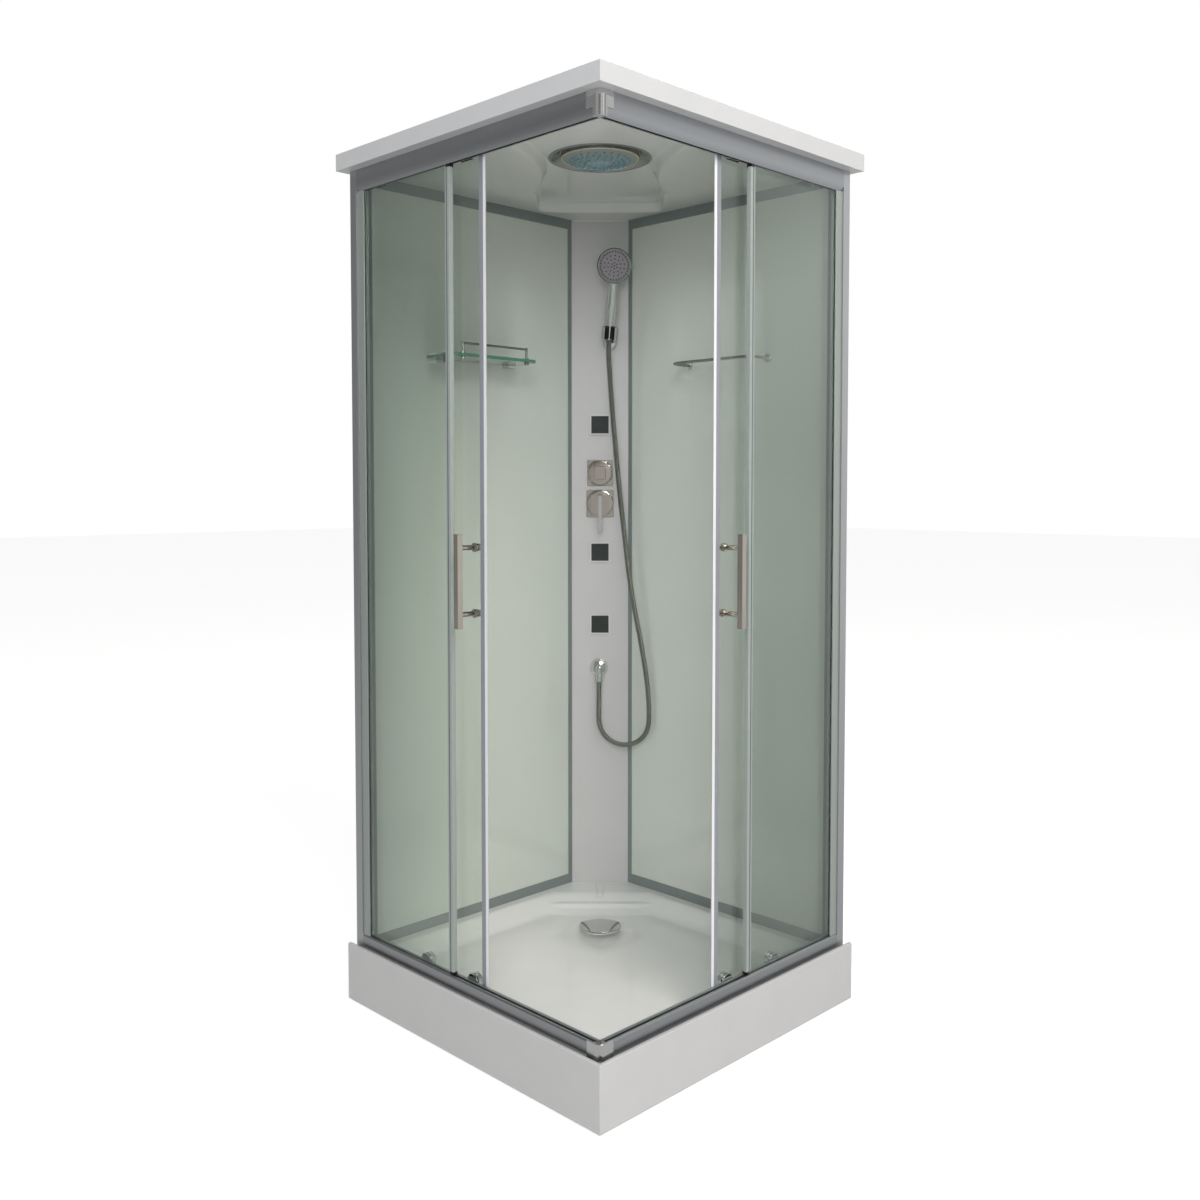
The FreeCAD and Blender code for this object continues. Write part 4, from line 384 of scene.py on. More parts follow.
lip_abs = moulded("cream_abs", "CFC9B8", "D8D2C2", 0.3)
seal_pale = moulded("soft_pvc_pale", "98A29D", "A4ADA8", 0.28)
# Dark PVC for a band of painted shadow along the fixed seals' inner edge.
seal_painted_shadow = moulded("pvc_painted_shadow", "596165", "666D70", 0.32)
seal_lilac = moulded("soft_pvc_lilac_grey", "888B92", "93969C", 0.3)
seal_white = moulded("soft_pvc_white", "E3E3E7", "EAEAED", 0.28)


def painted_glass_material():
    """Glass painted on its back: pale green, deep gloss, faint clouds in the paint."""
    made, tree, shader = new_material("painted_glass", ior=1.5, coat_weight=0.6,
                                      coat_roughness=0.03)
    tint(tree, shader, pattern(tree, 260, 1.0), "D8DDD4", "DEE3DB")
    vary(tree, shader, "Roughness", pattern(tree, 60), 0.08, 0.14)
    return made


def column_material():
    """Powder-coated aluminium sheet: warm lilac grey, satin, with a fine orange peel."""
    made, tree, shader = new_material("powder_coated_sheet")
    tint(tree, shader, pattern(tree, 120), "D2D0CF", "D8D6D5")
    vary(tree, shader, "Roughness", pattern(tree, 8), 0.28, 0.36)
    relief(tree, shader, pattern(tree, 2.5), 0.04, 0.4)
    return made


def zinc_material():
    """Galvanised steel: grey zinc spangle with cells about 12 mm across."""
    made, tree, shader = new_material("galvanised_steel", metallic=1.0)
    place = add_node(tree, "ShaderNodeTexCoord")
    cells = add_node(tree, "ShaderNodeTexVoronoi", {"Vector": place.outputs["Object"],
                                                    "Scale": 1 / (12 * MM)})
    tint(tree, shader, cells.outputs["Color"], "8F9496", "B2B6B8")
    vary(tree, shader, "Roughness", cells.outputs["Distance"], 0.4, 0.55)
    return made


def brass_material():
    """Cast brass: yellow metal with a dull, slightly rough skin."""
    made, tree, shader = new_material("cast_brass", metallic=1.0)
    tint(tree, shader, pattern(tree, 15, 3.0), "A98A4C", "C0A263")
    vary(tree, shader, "Roughness", pattern(tree, 3), 0.3, 0.45)
    relief(tree, shader, pattern(tree, 1.2), 0.05, 0.5)
    return made


painted_glass = painted_glass_material()
powder_coat = column_material()
zinc = zinc_material()
brass = brass_material()
nozzle_blue = moulded("blue_silicone", "6FA3B8", "7CB0C4", 0.45)
middle_blue = moulded("pale_blue_abs", "8AB2BE", "94BCC8", 0.2)
face_grey = moulded("grey_abs", "949B93", "9DA49C", 0.28)
spray_mauve = moulded("mauve_abs", "9D969C", "A6A0A5", 0.25)
nozzle_dark = moulded("dark_silicone", "1C1E22", "282B2F", 0.5)
hose_steel = plated("steel_hose_strip", "858680", "94958F", 0.34)


def paint(piece, *materials):
    """Gives an object its materials in order."""
    piece.data.materials.clear()
    for made in materials:
        piece.data.materials.append(made)
    return piece


# Tray

def rounded_reach(angle, sides, power):
    """Distance from a centre to a rounded outline in the direction of an angle.

    Each side is (direction of its normal, distance). The sides' own distances d / cos are joined
    as a power mean, s (sum of (s cos / d) ^ power) ^ (-1 / power), which rounds the corners. The
    scale s is the nearest side's distance.
    """
    scale = min(distance for normal, distance in sides)
    total = sum((np.maximum(np.cos(angle - normal), 0) * scale / distance) ** power
                for normal, distance in sides)
    return scale * total ** (-1 / power)


RIGHT, BACK, LEFT, FRONT, CORNER = 0.0, math.pi / 2, math.pi, -math.pi / 2, 0.75 * math.pi


def five_sides(centre, front, back, corner=None):
    """Sides of an outline seen from a centre: two in front, two behind, one across the corner."""
    x, y = centre
    sides = [(RIGHT, front - x), (FRONT, front + y), (LEFT, back + x), (BACK, back - y)]
    if corner is not None:
        sides.append((CORNER, corner - (y - x) / ROOT_TWO))
    return sides


def directions(corners, spread=7, fine=0.2, coarse=0.8):
    """Angles all round, closer together near the given corners; all in degrees but the result."""
    angles = [np.arange(-180, 180, coarse)]
    angles += [np.arange(corner - spread, corner + spread, fine) for corner in corners]
    angles = np.concatenate(angles)
    return np.radians(np.unique(np.round((angles + 180) % 360 - 180, 3)))


def make_tray():
    """The tray's acrylic shell: rim, basin with soft edges, step and groove by the column.

    Round the drain, a row of the surface lies between two outlines: R = R1 + t (R2 - R1), and its
    height falls from the rim to the floor along a ramp with parabolas at its ends.
    """
    low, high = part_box("shower_tray")
    rim, foot, half = high.z / MM, low.z / MM, -low.x / MM
    front = high.x / MM
    floor, wall, step_top, edge_round = 98, 5, 118, 3
    step_half, step_front = 158, 347
    groove_half, groove_front, groove_back, groove_deep = 10.5, 380, 500, 3
    basin_side, basin_corner, base_side, base_corner = 380, 400, 335, 327
    drain, drain_hole = 225 / ROOT_TWO, 43.0
    centre = (-drain, drain)
    corners = [math.degrees(math.atan2(y - drain, x + drain))
               for x in (-half, front) for y in (-front, half)]
    angle = directions(corners + [135, 115, 155], 6)
    outer = rounded_reach(angle, five_sides(centre, front, half), 150)
    basin = rounded_reach(angle, five_sides(centre, basin_side, basin_side, basin_corner), 40)
    base = rounded_reach(angle, five_sides(centre, base_side, base_side, base_corner), 26)
    ring = np.full_like(angle, drain_hole)
    slope = np.linspace(-0.16, 1.36, 40)
    rows = [(outer, foot), (outer, rim - 12)]
    rows += [(outer - edge_round * (1 - math.cos(a)), rim - edge_round + edge_round * math.sin(a))
             for a in np.linspace(0, math.pi / 2, 5)]
    brink = basin - (base - basin) * 0.16
    rows += [(outer - edge_round + f * (brink - outer + edge_round), rim)
             for f in (0.1, 0.25, 0.4, 0.55, 0.7, 0.85, 0.95)]
    rows += [(basin + t * (base - basin), rim - (rim - floor) * soft_ramp(t, 0.14, 0.34))
             for t in slope]
    upper_rows = len(rows)
    last = basin + slope[-1] * (base - basin)
    rows += [(last + f * (ring + 1.5 - last), floor) for f in (0.25, 0.5, 0.75, 1)]
    rows += [(ring, floor - 1.5), (ring, floor - wall)]
    rows += [(last + f * (ring - last), floor - wall) for f in (0.66, 0.33)]
    rows += [(basin + wall + t * (base - basin),
              rim - wall - (rim - floor) * soft_ramp(t, 0.14, 0.34)) for t in slope[::-4]]
    rows += [(outer - wall, rim - wall), (outer - wall, foot)]
    reach = np.stack([row[0] for row in rows])
    height = np.stack([np.full_like(angle, 1.0) * row[1] for row in rows])
    x = centre[0] + reach * np.cos(angle)
    y = centre[1] + reach * np.sin(angle)
    across, deep, height = np.moveaxis(from_corner(np.stack([x, y, height], axis=-1)), -1, 0)
    upper = np.arange(len(rows))[:, None] < upper_rows
    step = smooth_step((step_half - np.abs(across)) / 7) * smooth_step((deep - step_front) / 6)
    step = step * upper
    height = np.maximum(height, height * (1 - step) + step_top * step)
    groove = smooth_step((groove_half - np.abs(across)) / 3)
    groove = groove * smooth_step((deep - groove_front) / 12)
    groove = groove * smooth_step((groove_back - deep) / 3)
    height = height - groove_deep * groove * upper * (height > rim - 8)
    points = np.stack([x, y, height], axis=-1) * MM
    mesh = close_up(surface("shower_tray_shell", points, True), 50)
    paint(add_piece("shower_tray_shell", mesh, "cabin", "shower_tray"), white_acrylic)


# Ceiling

def ray_to_circle(angle, centre, middle, radius):
    """Distance along each ray to the near side of a circle, or far away where it misses.

    The ray p = d (cos, sin) meets it where d^2 - 2 d b + c = 0, with b = m . (cos, sin).
    """
    offset = np.array(middle) - np.array(centre)
    b = offset[0] * np.cos(angle) + offset[1] * np.sin(angle)
    inside = b * b - (offset @ offset - radius * radius)
    return np.where((inside > 0) & (b > 0), b - np.sqrt(np.maximum(inside, 0)), 1e5)


def make_ceiling():
    """The moulded ceiling: a level sheet whose middle is raised between two arcs and the column.

    Rows lie between outlines round the overhead shower; the wall of the raised part is an S curve.
    """
    low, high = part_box("ceiling_panel")
    level, thick, soft = low.z / MM + 5, 4, 11
    top = high.z / MM - thick
    front, back, column = high.x / MM, -low.x / MM, 496.7
    recess_front, recess_back, recess_corner, strip_half, shower_hole = 350, 393.7, 462, 168, 121.0
    set_in = 62 / ROOT_TWO
    centre = (set_in, -set_in)
    corners = [math.degrees(math.atan2(y + set_in, x - set_in))
               for x in (-back, front) for y in (-front, back)]
    angle = directions(corners + [115, 155, 60, -150, 30, -120, 0, -90], 8, 0.4, 1.0)
    outer = rounded_reach(angle, five_sides(centre, front, back, column), 220)
    arc_middle, arc_radius, power = 450, 500, 34
    sides = [(RIGHT, recess_front - set_in), (FRONT, recess_front - set_in),
             (LEFT, recess_back + set_in), (BACK, recess_back + set_in), (CORNER, recess_corner),
             (math.pi / 4, strip_half), (-CORNER, strip_half)]
    straight = rounded_reach(angle, sides[:5], power)
    strip = rounded_reach(angle, sides[4:], power)
    behind = np.cos(angle - CORNER) > 0
    arcs = [ray_to_circle(angle, centre, (arc_middle * way, arc_middle * way), arc_radius)
            for way in (1, -1)]
    scale = 100
    total = (scale / straight) ** power + sum((scale / arc) ** power for arc in arcs)
    total = total + np.where(behind, (scale / strip) ** power, 0)
    recess = scale * total ** (-1 / power)
    hole = np.full_like(angle, shower_hole)
    wall = np.linspace(0, 1, 17)
    fall = top - level
    rows = [(hole, top)]
    rows += [(hole + f * (recess - soft - hole), top) for f in np.linspace(0.1, 1, 9)]
    rows += [(recess + soft * (2 * f - 1), top - fall * smooth_step(f)) for f in wall[1:]]
    rows += [(recess + soft + f * (outer - recess - soft), level) for f in (0.1, 0.3, 0.6, 1)]
    rows += [(outer, level + thick)]
    rows += [(recess + soft + f * (outer - recess - soft), level + thick) for f in (0.6, 0.1)]
    rows += [(recess + 2 + soft * (2 * f - 1), top + thick - fall * smooth_step(f))
             for f in wall[::-2]]
    rows += [(hole, top + thick)]
    reach = np.minimum(np.stack([row[0] for row in rows]), outer)
    height = np.stack([np.full_like(angle, 1.0) * row[1] for row in rows])
    points = np.stack([centre[0] + reach * np.cos(angle), centre[1] + reach * np.sin(angle),
                       height], axis=-1) * MM
    mesh = close_up(surface("ceiling_moulding", points, True), 50)
    paint(add_piece("ceiling_moulding", mesh, "cabin", "ceiling_panel"), ceiling_acrylic)


def make_skirt():
    """The ceiling's short turned-down edge over the column: a rounded section drawn straight."""
    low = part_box("ceiling_panel")[0].z / MM
    back, front, top = 496.7, 494.2, low + 7
    section = rounded_profile([(495.4, low), (back, low), (back, top), (front, top), (front, low),
                               (495.4, low)], 0.7)[:-1]
    section = np.array(section)
    rows = []
    for x, size in ((-73, 0), (-73, 1), (-24, 1), (24, 1), (73, 1), (73, 0)):
        middle = section.mean(axis=0)
        flat = middle + (section - middle) * size
        rows.append(np.column_stack([np.full(len(section), x), flat]))
    mesh = close_up(surface("ceiling_skirt", into_corner(np.stack(rows)) * MM))
    paint(add_piece("ceiling_skirt", mesh, "cabin"), white_acrylic)


# Overhead shower

def make_overhead():
    """Convex spray face in a cream lip, with a smooth blue middle and rings of blue nozzles."""
    low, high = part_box("overhead_face")
    x, y = (low.x + high.x) / 2, (low.y + high.y) / 2
    middle = np.array([x, y, 0])
    crown = low.z / MM
    radius, bulge = 94, 14
    sphere = (radius ** 2 + bulge ** 2) / bulge / 2

    def drop(r):
        """Height of the convex face at a radius: crown + R - root(R^2 - r^2)."""
        return crown + sphere - np.sqrt(sphere ** 2 - r ** 2)

    rim, top, button_edge = radius - 3.4, high.z / MM, 24
    button = [(0, drop(0)), (12, drop(12)), (22, drop(22), 2),
              (button_edge, drop(button_edge) + 1.4, 1)]
    face = [(r, drop(r) + 1.4) for r in np.linspace(26, rim, 18)]
    lip = [(rim + 0.3, drop(rim) - 0.4, 0.6), (rim + 1.6, drop(rim) - 1.2, 0.9),
           (radius - 0.2, drop(radius) - 0.4, 0.9), (radius, drop(radius) + 4), (radius, top),
           (0, top)]
    profile = np.array(rounded_profile(button + face + lip, 0.4))
    mesh = close_up(surface("overhead_spray_plate", turned_points(profile * MM, 128) + middle), 40)
    plate = paint(add_piece("overhead_spray_plate", mesh, "cabin", "overhead_face"), face_grey,
                  lip_abs, middle_blue, satin_ring)
    centres = face_centres(plate)
    distance = np.hypot(centres[:, 0] - x / MM, centres[:, 1] - y / MM)
    chosen = np.where(distance > rim, 1, 0) + np.where(distance < button_edge, 2, 0)
    choose_materials(plate, np.where(centres[:, 2] > drop(radius) + 0.8, 3, chosen))
    rings = []
    for ring, count, part in ((36, 12, 0), (47, 18, 0.5), (59, 24, 0), (72, 24, 0.5)):
        turn = 2 * np.pi * (np.arange(count) + part) / count
        rings.append(np.stack([ring * np.cos(turn), ring * np.sin(turn),
                               np.full(count, drop(ring) + 1.6)], axis=-1) * MM + middle)
    places = np.concatenate(rings)
    outward = np.array([x, y, (crown + sphere) * MM]) - places
    nub = np.array(rounded_profile([(0, 0), (3.4, 0), (3.0, 1.6), (2.2, 4.2), (1.4, 4.8), (0, 4.9)],
                                   0.5, 3)) * MM
    paint(add_piece("overhead_nozzles", studs("overhead_nozzles", places, -outward, nub), "cabin"),
          nozzle_blue)


# Hand shower: how far its head stands before the handle's axis and above the handle's foot
HEAD_FORWARD, HEAD_HEIGHT = 6, 170


def handset_points(points):
    """Points drawn about the handle (z up its axis, face towards -y), leaned and set in the holder.

    The frame turns 4 degrees about y, then 12 degrees about x, then moves to the holder.
    """
    lean, tilt = math.radians(4), math.radians(12)
    about_y = np.array([[math.cos(lean), 0, math.sin(lean)], [0, 1, 0],
                        [-math.sin(lean), 0, math.cos(lean)]])
    about_x = np.array([[1, 0, 0], [0, math.cos(tilt), -math.sin(tilt)],
                        [0, math.sin(tilt), math.cos(tilt)]])
    moved = np.asarray(points, float) @ (about_x @ about_y).T + np.array([28.5, 450, 1750])
    return into_corner(moved) * MM


def head_points(profile, steps=96):
    """A turned (radius, distance) profile about the head's axis, which points towards -y."""
    flat = turned_points(profile, steps)
    return handset_points(np.stack([flat[..., 0], -HEAD_FORWARD - flat[..., 2],
                                    HEAD_HEIGHT + flat[..., 1]], axis=-1))


def make_hand_shower():
    """Handle that swells and narrows into a domed head, welded into one smooth shell."""
    along = np.linspace(0, 1, 40)
    length = 158
    widths = np.interp(along, [0, 0.05, 0.12, 0.33, 0.6, 0.78, 0.9, 1],
                       [12.5, 14.5, 16.2, 17, 14.3, 12.3, 13.5, 17])
    kernel = np.array([0.25, 0.5, 0.25])
    widths = np.convolve(np.pad(widths, 1, mode="edge"), kernel, "valid")
    turn = np.linspace(0, 2 * math.pi, 48, endpoint=False)
    depth = widths * np.interp(along, [0, 0.7, 1], [0.98, 0.95, 0.72])
    handle = np.stack([widths[:, None] * np.cos(turn), depth[:, None] * np.sin(turn),
                       along[:, None] * length + 0 * turn], axis=-1)
    caps = [handle[:1] * [0, 0, 1], handle, handle[-1:] * [0, 0, 1]]
    handle_mesh = surface("handle", handset_points(np.concatenate(caps)))
    radius, dome, thick = 49, 16, 7.8
    sphere = (radius ** 2 + dome ** 2) / dome / 2
    r = np.linspace(0, radius, 24)
    profile = np.stack([r, -dome + sphere - np.sqrt(sphere ** 2 - r ** 2)], axis=-1).tolist()
    profile = rounded_profile(profile[:-1] + [(radius, 0), (radius, thick), (0, thick)], 0.8, 4)
    head_mesh = surface("head", head_points(profile))
    work = bmesh.new()
    work.from_mesh(handle_mesh)
    work.from_mesh(head_mesh)
    mesh = bpy.data.meshes.new("hand_shower_shell")
    work.to_mesh(mesh)
    work.free()
    piece = add_piece("hand_shower_shell", close_up(mesh), "cabin", "hand_shower")
    weld = piece.modifiers.new("one shell", "REMESH")
    weld.voxel_size = 0.9 * MM
    weld.use_smooth_shade = True
    smooth = piece.modifiers.new("moulded flow", "SMOOTH")
    smooth.factor = 0.5
    smooth.iterations = 8
    paint(piece, chrome)
    disc = rounded_profile([(0, 12.6), (43, 12.3, 1), (45.6, 11.2, 1), (46, 7.9), (0, 7.9)], 0.6, 4)
    face = add_piece("spray_disc", close_up(surface("spray_disc", head_points(disc))), "cabin",
                     "spray_face")
    paint(face, spray_mauve)
    middle = head_points([(0, 12.6)], 1)[0, 0]
    outward = head_points([(0, 13.6)], 1)[0, 0] - middle
    places = [np.zeros((1, 2))]
    for ring, count in ((8, 6), (18, 10), (28, 14), (38.5, 30)):
        turns = 2 * np.pi * (np.arange(count) + 0.5) / count
        places.append(ring * np.stack([np.cos(turns), np.sin(turns)], axis=-1))
    flat = np.concatenate(places)
    flat = np.stack([flat[:, 0], np.full(len(flat), -HEAD_FORWARD - 12.4),
                     HEAD_HEIGHT + flat[:, 1]], axis=-1)
    nub = np.array([(0, 0), (2.0, 0), (1.8, 0.9), (1.1, 1.3), (0, 1.4)]) * MM
    spots = handset_points(flat)
    nozzles = studs("hand_shower_nozzles", spots, np.tile(outward, (len(spots), 1)), nub)
    paint(add_piece("hand_shower_nozzles", nozzles, "cabin"), nozzle_dark)


# Hose: the points that guide its middle line, in millimetres about the column
HOSE_ROUTE = [
    (25.99, 457.47, 1714.87), (23.48, 464.93, 1679.75), (27.5, 468.5, 1622), (32.5, 470.5, 1546),
    (40, 471, 1462), (48.5, 469.5, 1362), (58, 468, 1262), (70, 466, 1162), (80.5, 460.5, 1062),
    (96.5, 449.5, 955), (119, 436.5, 840), (134.5, 426, 742), (140.5, 421.5, 667),
    (140, 422.5, 599.7), (112.4, 431, 561.8), (67.8, 444.6, 547.3), (23.2, 458.2, 561.8),
    (-4.4, 466.4, 599.7), (-3, 468, 670), (-3, 468, 730),
]


def route_line(name, route):
    """Points close together on the smooth line that a route's points guide."""
    curve = bpy.data.curves.new(name, "CURVE")
    curve.dimensions = "3D"
    curve.resolution_u = 24
    spline = curve.splines.new("NURBS")
    spline.points.add(len(route) - 1)
    for point, place in zip(spline.points, route):
        point.co = (*place, 1)
    spline.order_u = 3
    spline.use_endpoint_u = True
    holder = bpy.data.objects.new(name, curve)
    mesh = bpy.data.meshes.new_from_object(holder)
    line = np.array([vertex.co for vertex in mesh.vertices])
    bpy.data.objects.remove(holder)
    bpy.data.curves.remove(curve)
    bpy.data.meshes.remove(mesh)
    return line


def make_hose():
    """Ribbed steel hose: at a part p of each 5 mm rib its radius is 6.2 + 0.8 sin(pi p) ^ 0.7 mm.

    Ribs of that length are as coarse as they need to be to show.
    """
    line = route_line("hose_line", into_corner(HOSE_ROUTE) * MM)
    runs = np.linalg.norm(np.diff(line, axis=0), axis=1)
    along = np.concatenate([[0], np.cumsum(runs)])
    length = along[-1]
    pitch, rings = 5 * MM, 8
    count = int(length / pitch) * rings
    at = np.linspace(0, length, count + 1)
    centres = np.stack([np.interp(at, along, line[:, axis]) for axis in range(3)], axis=-1)
    heading = np.gradient(centres, axis=0)
    for _ in range(6):
        heading[1:-1] = (heading[:-2] + heading[1:-1] * 2 + heading[2:]) / 4
    heading = heading / np.linalg.norm(heading, axis=1, keepdims=True)
    side = np.cross(heading, into_corner([0, 1, 0]))
    side = side / np.linalg.norm(side, axis=1, keepdims=True)
    up = np.cross(heading, side)
    phase = np.arange(count + 1) % rings / rings
    radius = (6.2 + 0.8 * np.sin(math.pi * phase) ** 0.7)[:, None, None] * MM
    sides = 16
    turn = np.linspace(0, 2 * math.pi, sides, endpoint=False)[None, :, None]
    points = centres[:, None] + radius * (np.cos(turn) * side[:, None] + np.sin(turn) * up[:, None])
    ends = [np.repeat(end.mean(axis=1, keepdims=True), sides, axis=1)
            for end in (points[:1], points[-1:])]
    mesh = close_up(surface("ribbed_hose", np.concatenate([ends[0], points, ends[1]])), 60)
    hose = paint(add_piece("ribbed_hose", mesh, "cabin", "shower_hose"), hose_steel)
    nuts = softened("hose_nuts", 0.5)
    paint(nuts, chrome)


# Pieces whose solids are right and get rounded edges: the edge's width in mm, the material and,
# where it isn't 30 degrees, the least angle of an edge that is rounded
FINISHES = {
    "tray_apron": (2.2, apron_acrylic_painted_shade),
    "roof_cover": (6, roof_acrylic_painted_shade, 12),
    "bottom_rail_left": (0.5, rail_x), "bottom_rail_right": (0.5, rail_y),
    "top_rail_left": (0.5, rail_x), "top_rail_right": (0.5, rail_y),
    "panel_frame_left": (0.5, panel_trim), "panel_frame_right": (0.5, panel_trim),
    "column_panel": (0.8, powder_coat),
    "bottom_corner_connector": (0.6, chrome), "top_corner_connector": (0.6, chrome),
    "fixed_glass_left": (0.4, clear_glass), "fixed_glass_right": (0.4, clear_glass),
    "door_glass_left": (0.4, clear_glass), "door_glass_right": (0.4, clear_glass),
    "shelf_glass": (0.8, clear_glass),
    "back_panel_left": (0.4, painted_glass), "back_panel_right": (0.4, painted_glass),
    "rail_stops": (0.6, black_rubber), "holder_jaws": (1.0, black_rubber),
    "door_handle_left": (0.9, warm_reflection_chrome), "door_handle_right": (0.9, warm_reflection_chrome),
    "door_carriers_left": (0.6, chrome), "door_carriers_right": (0.6, chrome),
    "front_wheel_left": (0.5, nylon), "front_wheel_right": (0.5, nylon),
    "rear_wheel_left": (0.5, nylon), "rear_wheel_right": (0.5, nylon),
    "diverter_knob": (2.0, warm_reflection_chrome), "mixer_cover": (2.0, warm_reflection_chrome), "mixer_lever": (2.4, chrome),
    "hose_outlet": (0.8, chrome), "shower_holder": (1.2, chrome),
    "spray_selector": (0.5, smoked_ring), "overhead_housing": (0.5, satin_ring),
    "drain_cover": (0.5, chrome), "waste_trap": (0.6, pipe_plastic),
    "shelf_gallery": (0.4, steel_bar), "accessory_mounts": (0.8, chrome),
    "towel_bar": (0.2, steel_bar),
    "tray_frame": (0.3, zinc), "tray_feet": (0.4, zinc), "roof_screws": (0.3, zinc),
    "mixer_valve_body": (0.8, brass), "water_pipes": (0.2, brass),
}


def edge_faces(piece, node, second):
    """Gives the faces on the rim of an upright pane or level shelf a second material."""
    low, high = np.array(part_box(node))
    thin = int(np.argmin(high - low))
    normals = np.array([polygon.normal for polygon in piece.data.polygons])
    piece.data.materials.append(second)
    choose_materials(piece, np.abs(normals[:, thin]) < 0.5)


def make_solids():
    """Every piece whose solid is right, with its edges rounded and its material."""
    for node, (width, made, *sharp) in FINISHES.items():
        piece = paint(softened(node, width, *sharp), made)
        if made is clear_glass:
            edge_faces(piece, node, shelf_edge if node == "shelf_glass" else glass_edge)


def banded(piece, cuts, *bands):
    """Parts a glazed side's profile into bands of different material; some bands are painted shadow
    and painted reflection.

    The cuts are distances in millimetres from the side's middle towards the front corner, x on
    the left side and -y on the right one.
    """
    slice_faces(piece.data, [((cut * MM, -cut * MM, 0), normal) for cut in cuts
                             for normal in ((1, 0, 0), (0, -1, 0))])
    paint(piece, *bands)
    centres = face_centres(piece)
    along = np.where(centres[:, 0] + centres[:, 1] < 0, centres[:, 0], -centres[:, 1])
    choose_materials(piece, np.searchsorted(cuts, along))


def make_strips():
    """Seals in bands of soft and hard PVC, the fixed seals' dark band at the inner edge a painted
    shadow; wall posts made of two profiles, the glass holder's colour a painted reflection.
    """
    painted_shadow_band, magnet, inner_profile = (-62, -58), 46, 26
    # The band between the two cuts is drawn dark: painted shadow of the seal's inner edge.
    banded(softened("fixed_glass_seals", 0.4), painted_shadow_band, seal_pale, seal_painted_shadow, seal_pale)
    for side in ("left", "right"):
        banded(softened(f"door_seals_{side}", 0.5), (magnet,), seal_lilac, seal_white)
        post = softened(f"wall_post_{side}", 0.4)
        low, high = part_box(f"wall_post_{side}")
        start = low.x / MM if side == "left" else -high.y / MM
        # The inner band, the glass holder, gets the darker, greener painted reflection.
        banded(post, (start + inner_profile,), post_z, holder_painted_reflection)


def column_corners(node):
    """The least and greatest (across, deep, height) of a node, in millimetres about the column."""
    points = from_corner([vertex.co for vertex in frame["nodes"][node].data.vertices]) / MM
    return points.min(axis=0), points.max(axis=0)


def make_plates():
    """Square plates pressed with a round dome, in chrome whose warm tint is painted reflection.

    At a distance r from the middle the front lies a (r / R)^2 back, and past the dome's edge R
    it steps back by the same again to the flat corners.
    """
    angle = np.radians(np.arange(0, 360, 2.5))
    for node in ("diverter_plate", "mixer_plate"):
        low, high = column_corners(node)
        half = (high[0] - low[0]) / 2
        front, back = low[1], high[1]
        step = (back - front) * 0.22
        edge = half * 0.95
        square = [(RIGHT, half), (BACK, half), (LEFT, half), (FRONT, half)]
        outline = rounded_reach(angle, square, 60)
        rows = []
        for part in np.append(np.linspace(0, 0.9, 16), [0.94, 0.97, 0.99]):
            reach = outline * part
            sunk = np.minimum(reach / edge, 1) ** 2 + smooth_step((reach - edge) / 1.2)
            rows.append((reach, front + step * sunk))
        rows += [(outline, rows[-1][1] + 0.5), (outline, np.full_like(angle, back)),
                 (outline * 0, np.full_like(angle, back))]
        reach = np.stack([row[0] for row in rows])
        deep = np.stack([row[1] for row in rows])
        points = np.stack([(low[0] + high[0]) / 2 + reach * np.cos(angle), deep,
                           (low[2] + high[2]) / 2 + reach * np.sin(angle)], axis=-1)
        mesh = close_up(surface(f"{node}_pressed", into_corner(points) * MM), 35)
        paint(add_piece(f"{node}_pressed", mesh, "cabin", node), warm_reflection_chrome)


def make_outlet_dome():
    """Domed rosette of the hose outlet: it stands 3 + H (1 - r^2 / R^2) before the column."""
    low, high = column_corners("hose_outlet")
    front_of_column = 496.5
    height, radius = 11, 25
    profile = [(r, 3 + height * (1 - (r / radius) ** 2)) for r in np.linspace(0, radius, 14)]
    profile += [(radius + 0.2, 1.2), (radius, 0), (0, 0)]
    flat = turned_points(profile, 72)
    points = np.stack([(low[0] + high[0]) / 2 + flat[..., 0], front_of_column - flat[..., 2],
                       high[2] - radius + flat[..., 1]], axis=-1)
    mesh = close_up(surface("outlet_dome", into_corner(points) * MM), 40)
    paint(add_piece("outlet_dome", mesh, "cabin"), chrome)


def make_jets():
    """Body jets: a pale bezel with a dark face that has a square of nine small nozzles."""
    piece = softened("body_jets", 0.6)
    low, high = column_corners("body_jets")
    half, middle_level, face_half, pitch = 30, 1105, 25, 14
    bezel_front, nozzle_foot = 495.05, 490.1
    levels = [high[2] - half, middle_level, low[2] + half]
    for side in (-face_half, face_half):
        across = side * MM / ROOT_TWO
        slice_faces(piece.data, [((across, across, 0), (1, 1, 0))]
                    + [((0, 0, (level + side) * MM), (0, 0, 1)) for level in levels])
    paint(piece, bezel_abs, dark_abs)
    across, deep, height = from_corner(face_centres(piece)).T
    near = np.abs(height[:, None] - levels).min(axis=1)
    insert = (np.abs(across) < face_half) & (near < face_half) & (deep < bezel_front)
    choose_materials(piece, insert)
    spots = np.array([(x, nozzle_foot, level + z) for level in levels for x in (-pitch, 0, pitch)
                      for z in (-pitch, 0, pitch)])
    nub = np.array([(0, 0), (1.5, 0), (1.2, 0.8), (0.6, 1.2), (0, 1.25)]) * MM
    outward = np.tile(into_corner([0, -1, 0]), (len(spots), 1))
    nozzles = studs("body_jet_nozzles", into_corner(spots) * MM, outward, nub)
    paint(add_piece("body_jet_nozzles", nozzles, "cabin"), nozzle_dark)


make_tray()
make_ceiling()
make_skirt()
make_overhead()
make_hand_shower()
make_hose()
make_solids()
make_strips()
make_plates()
make_outlet_dome()
make_jets()


# Camera, floor and light

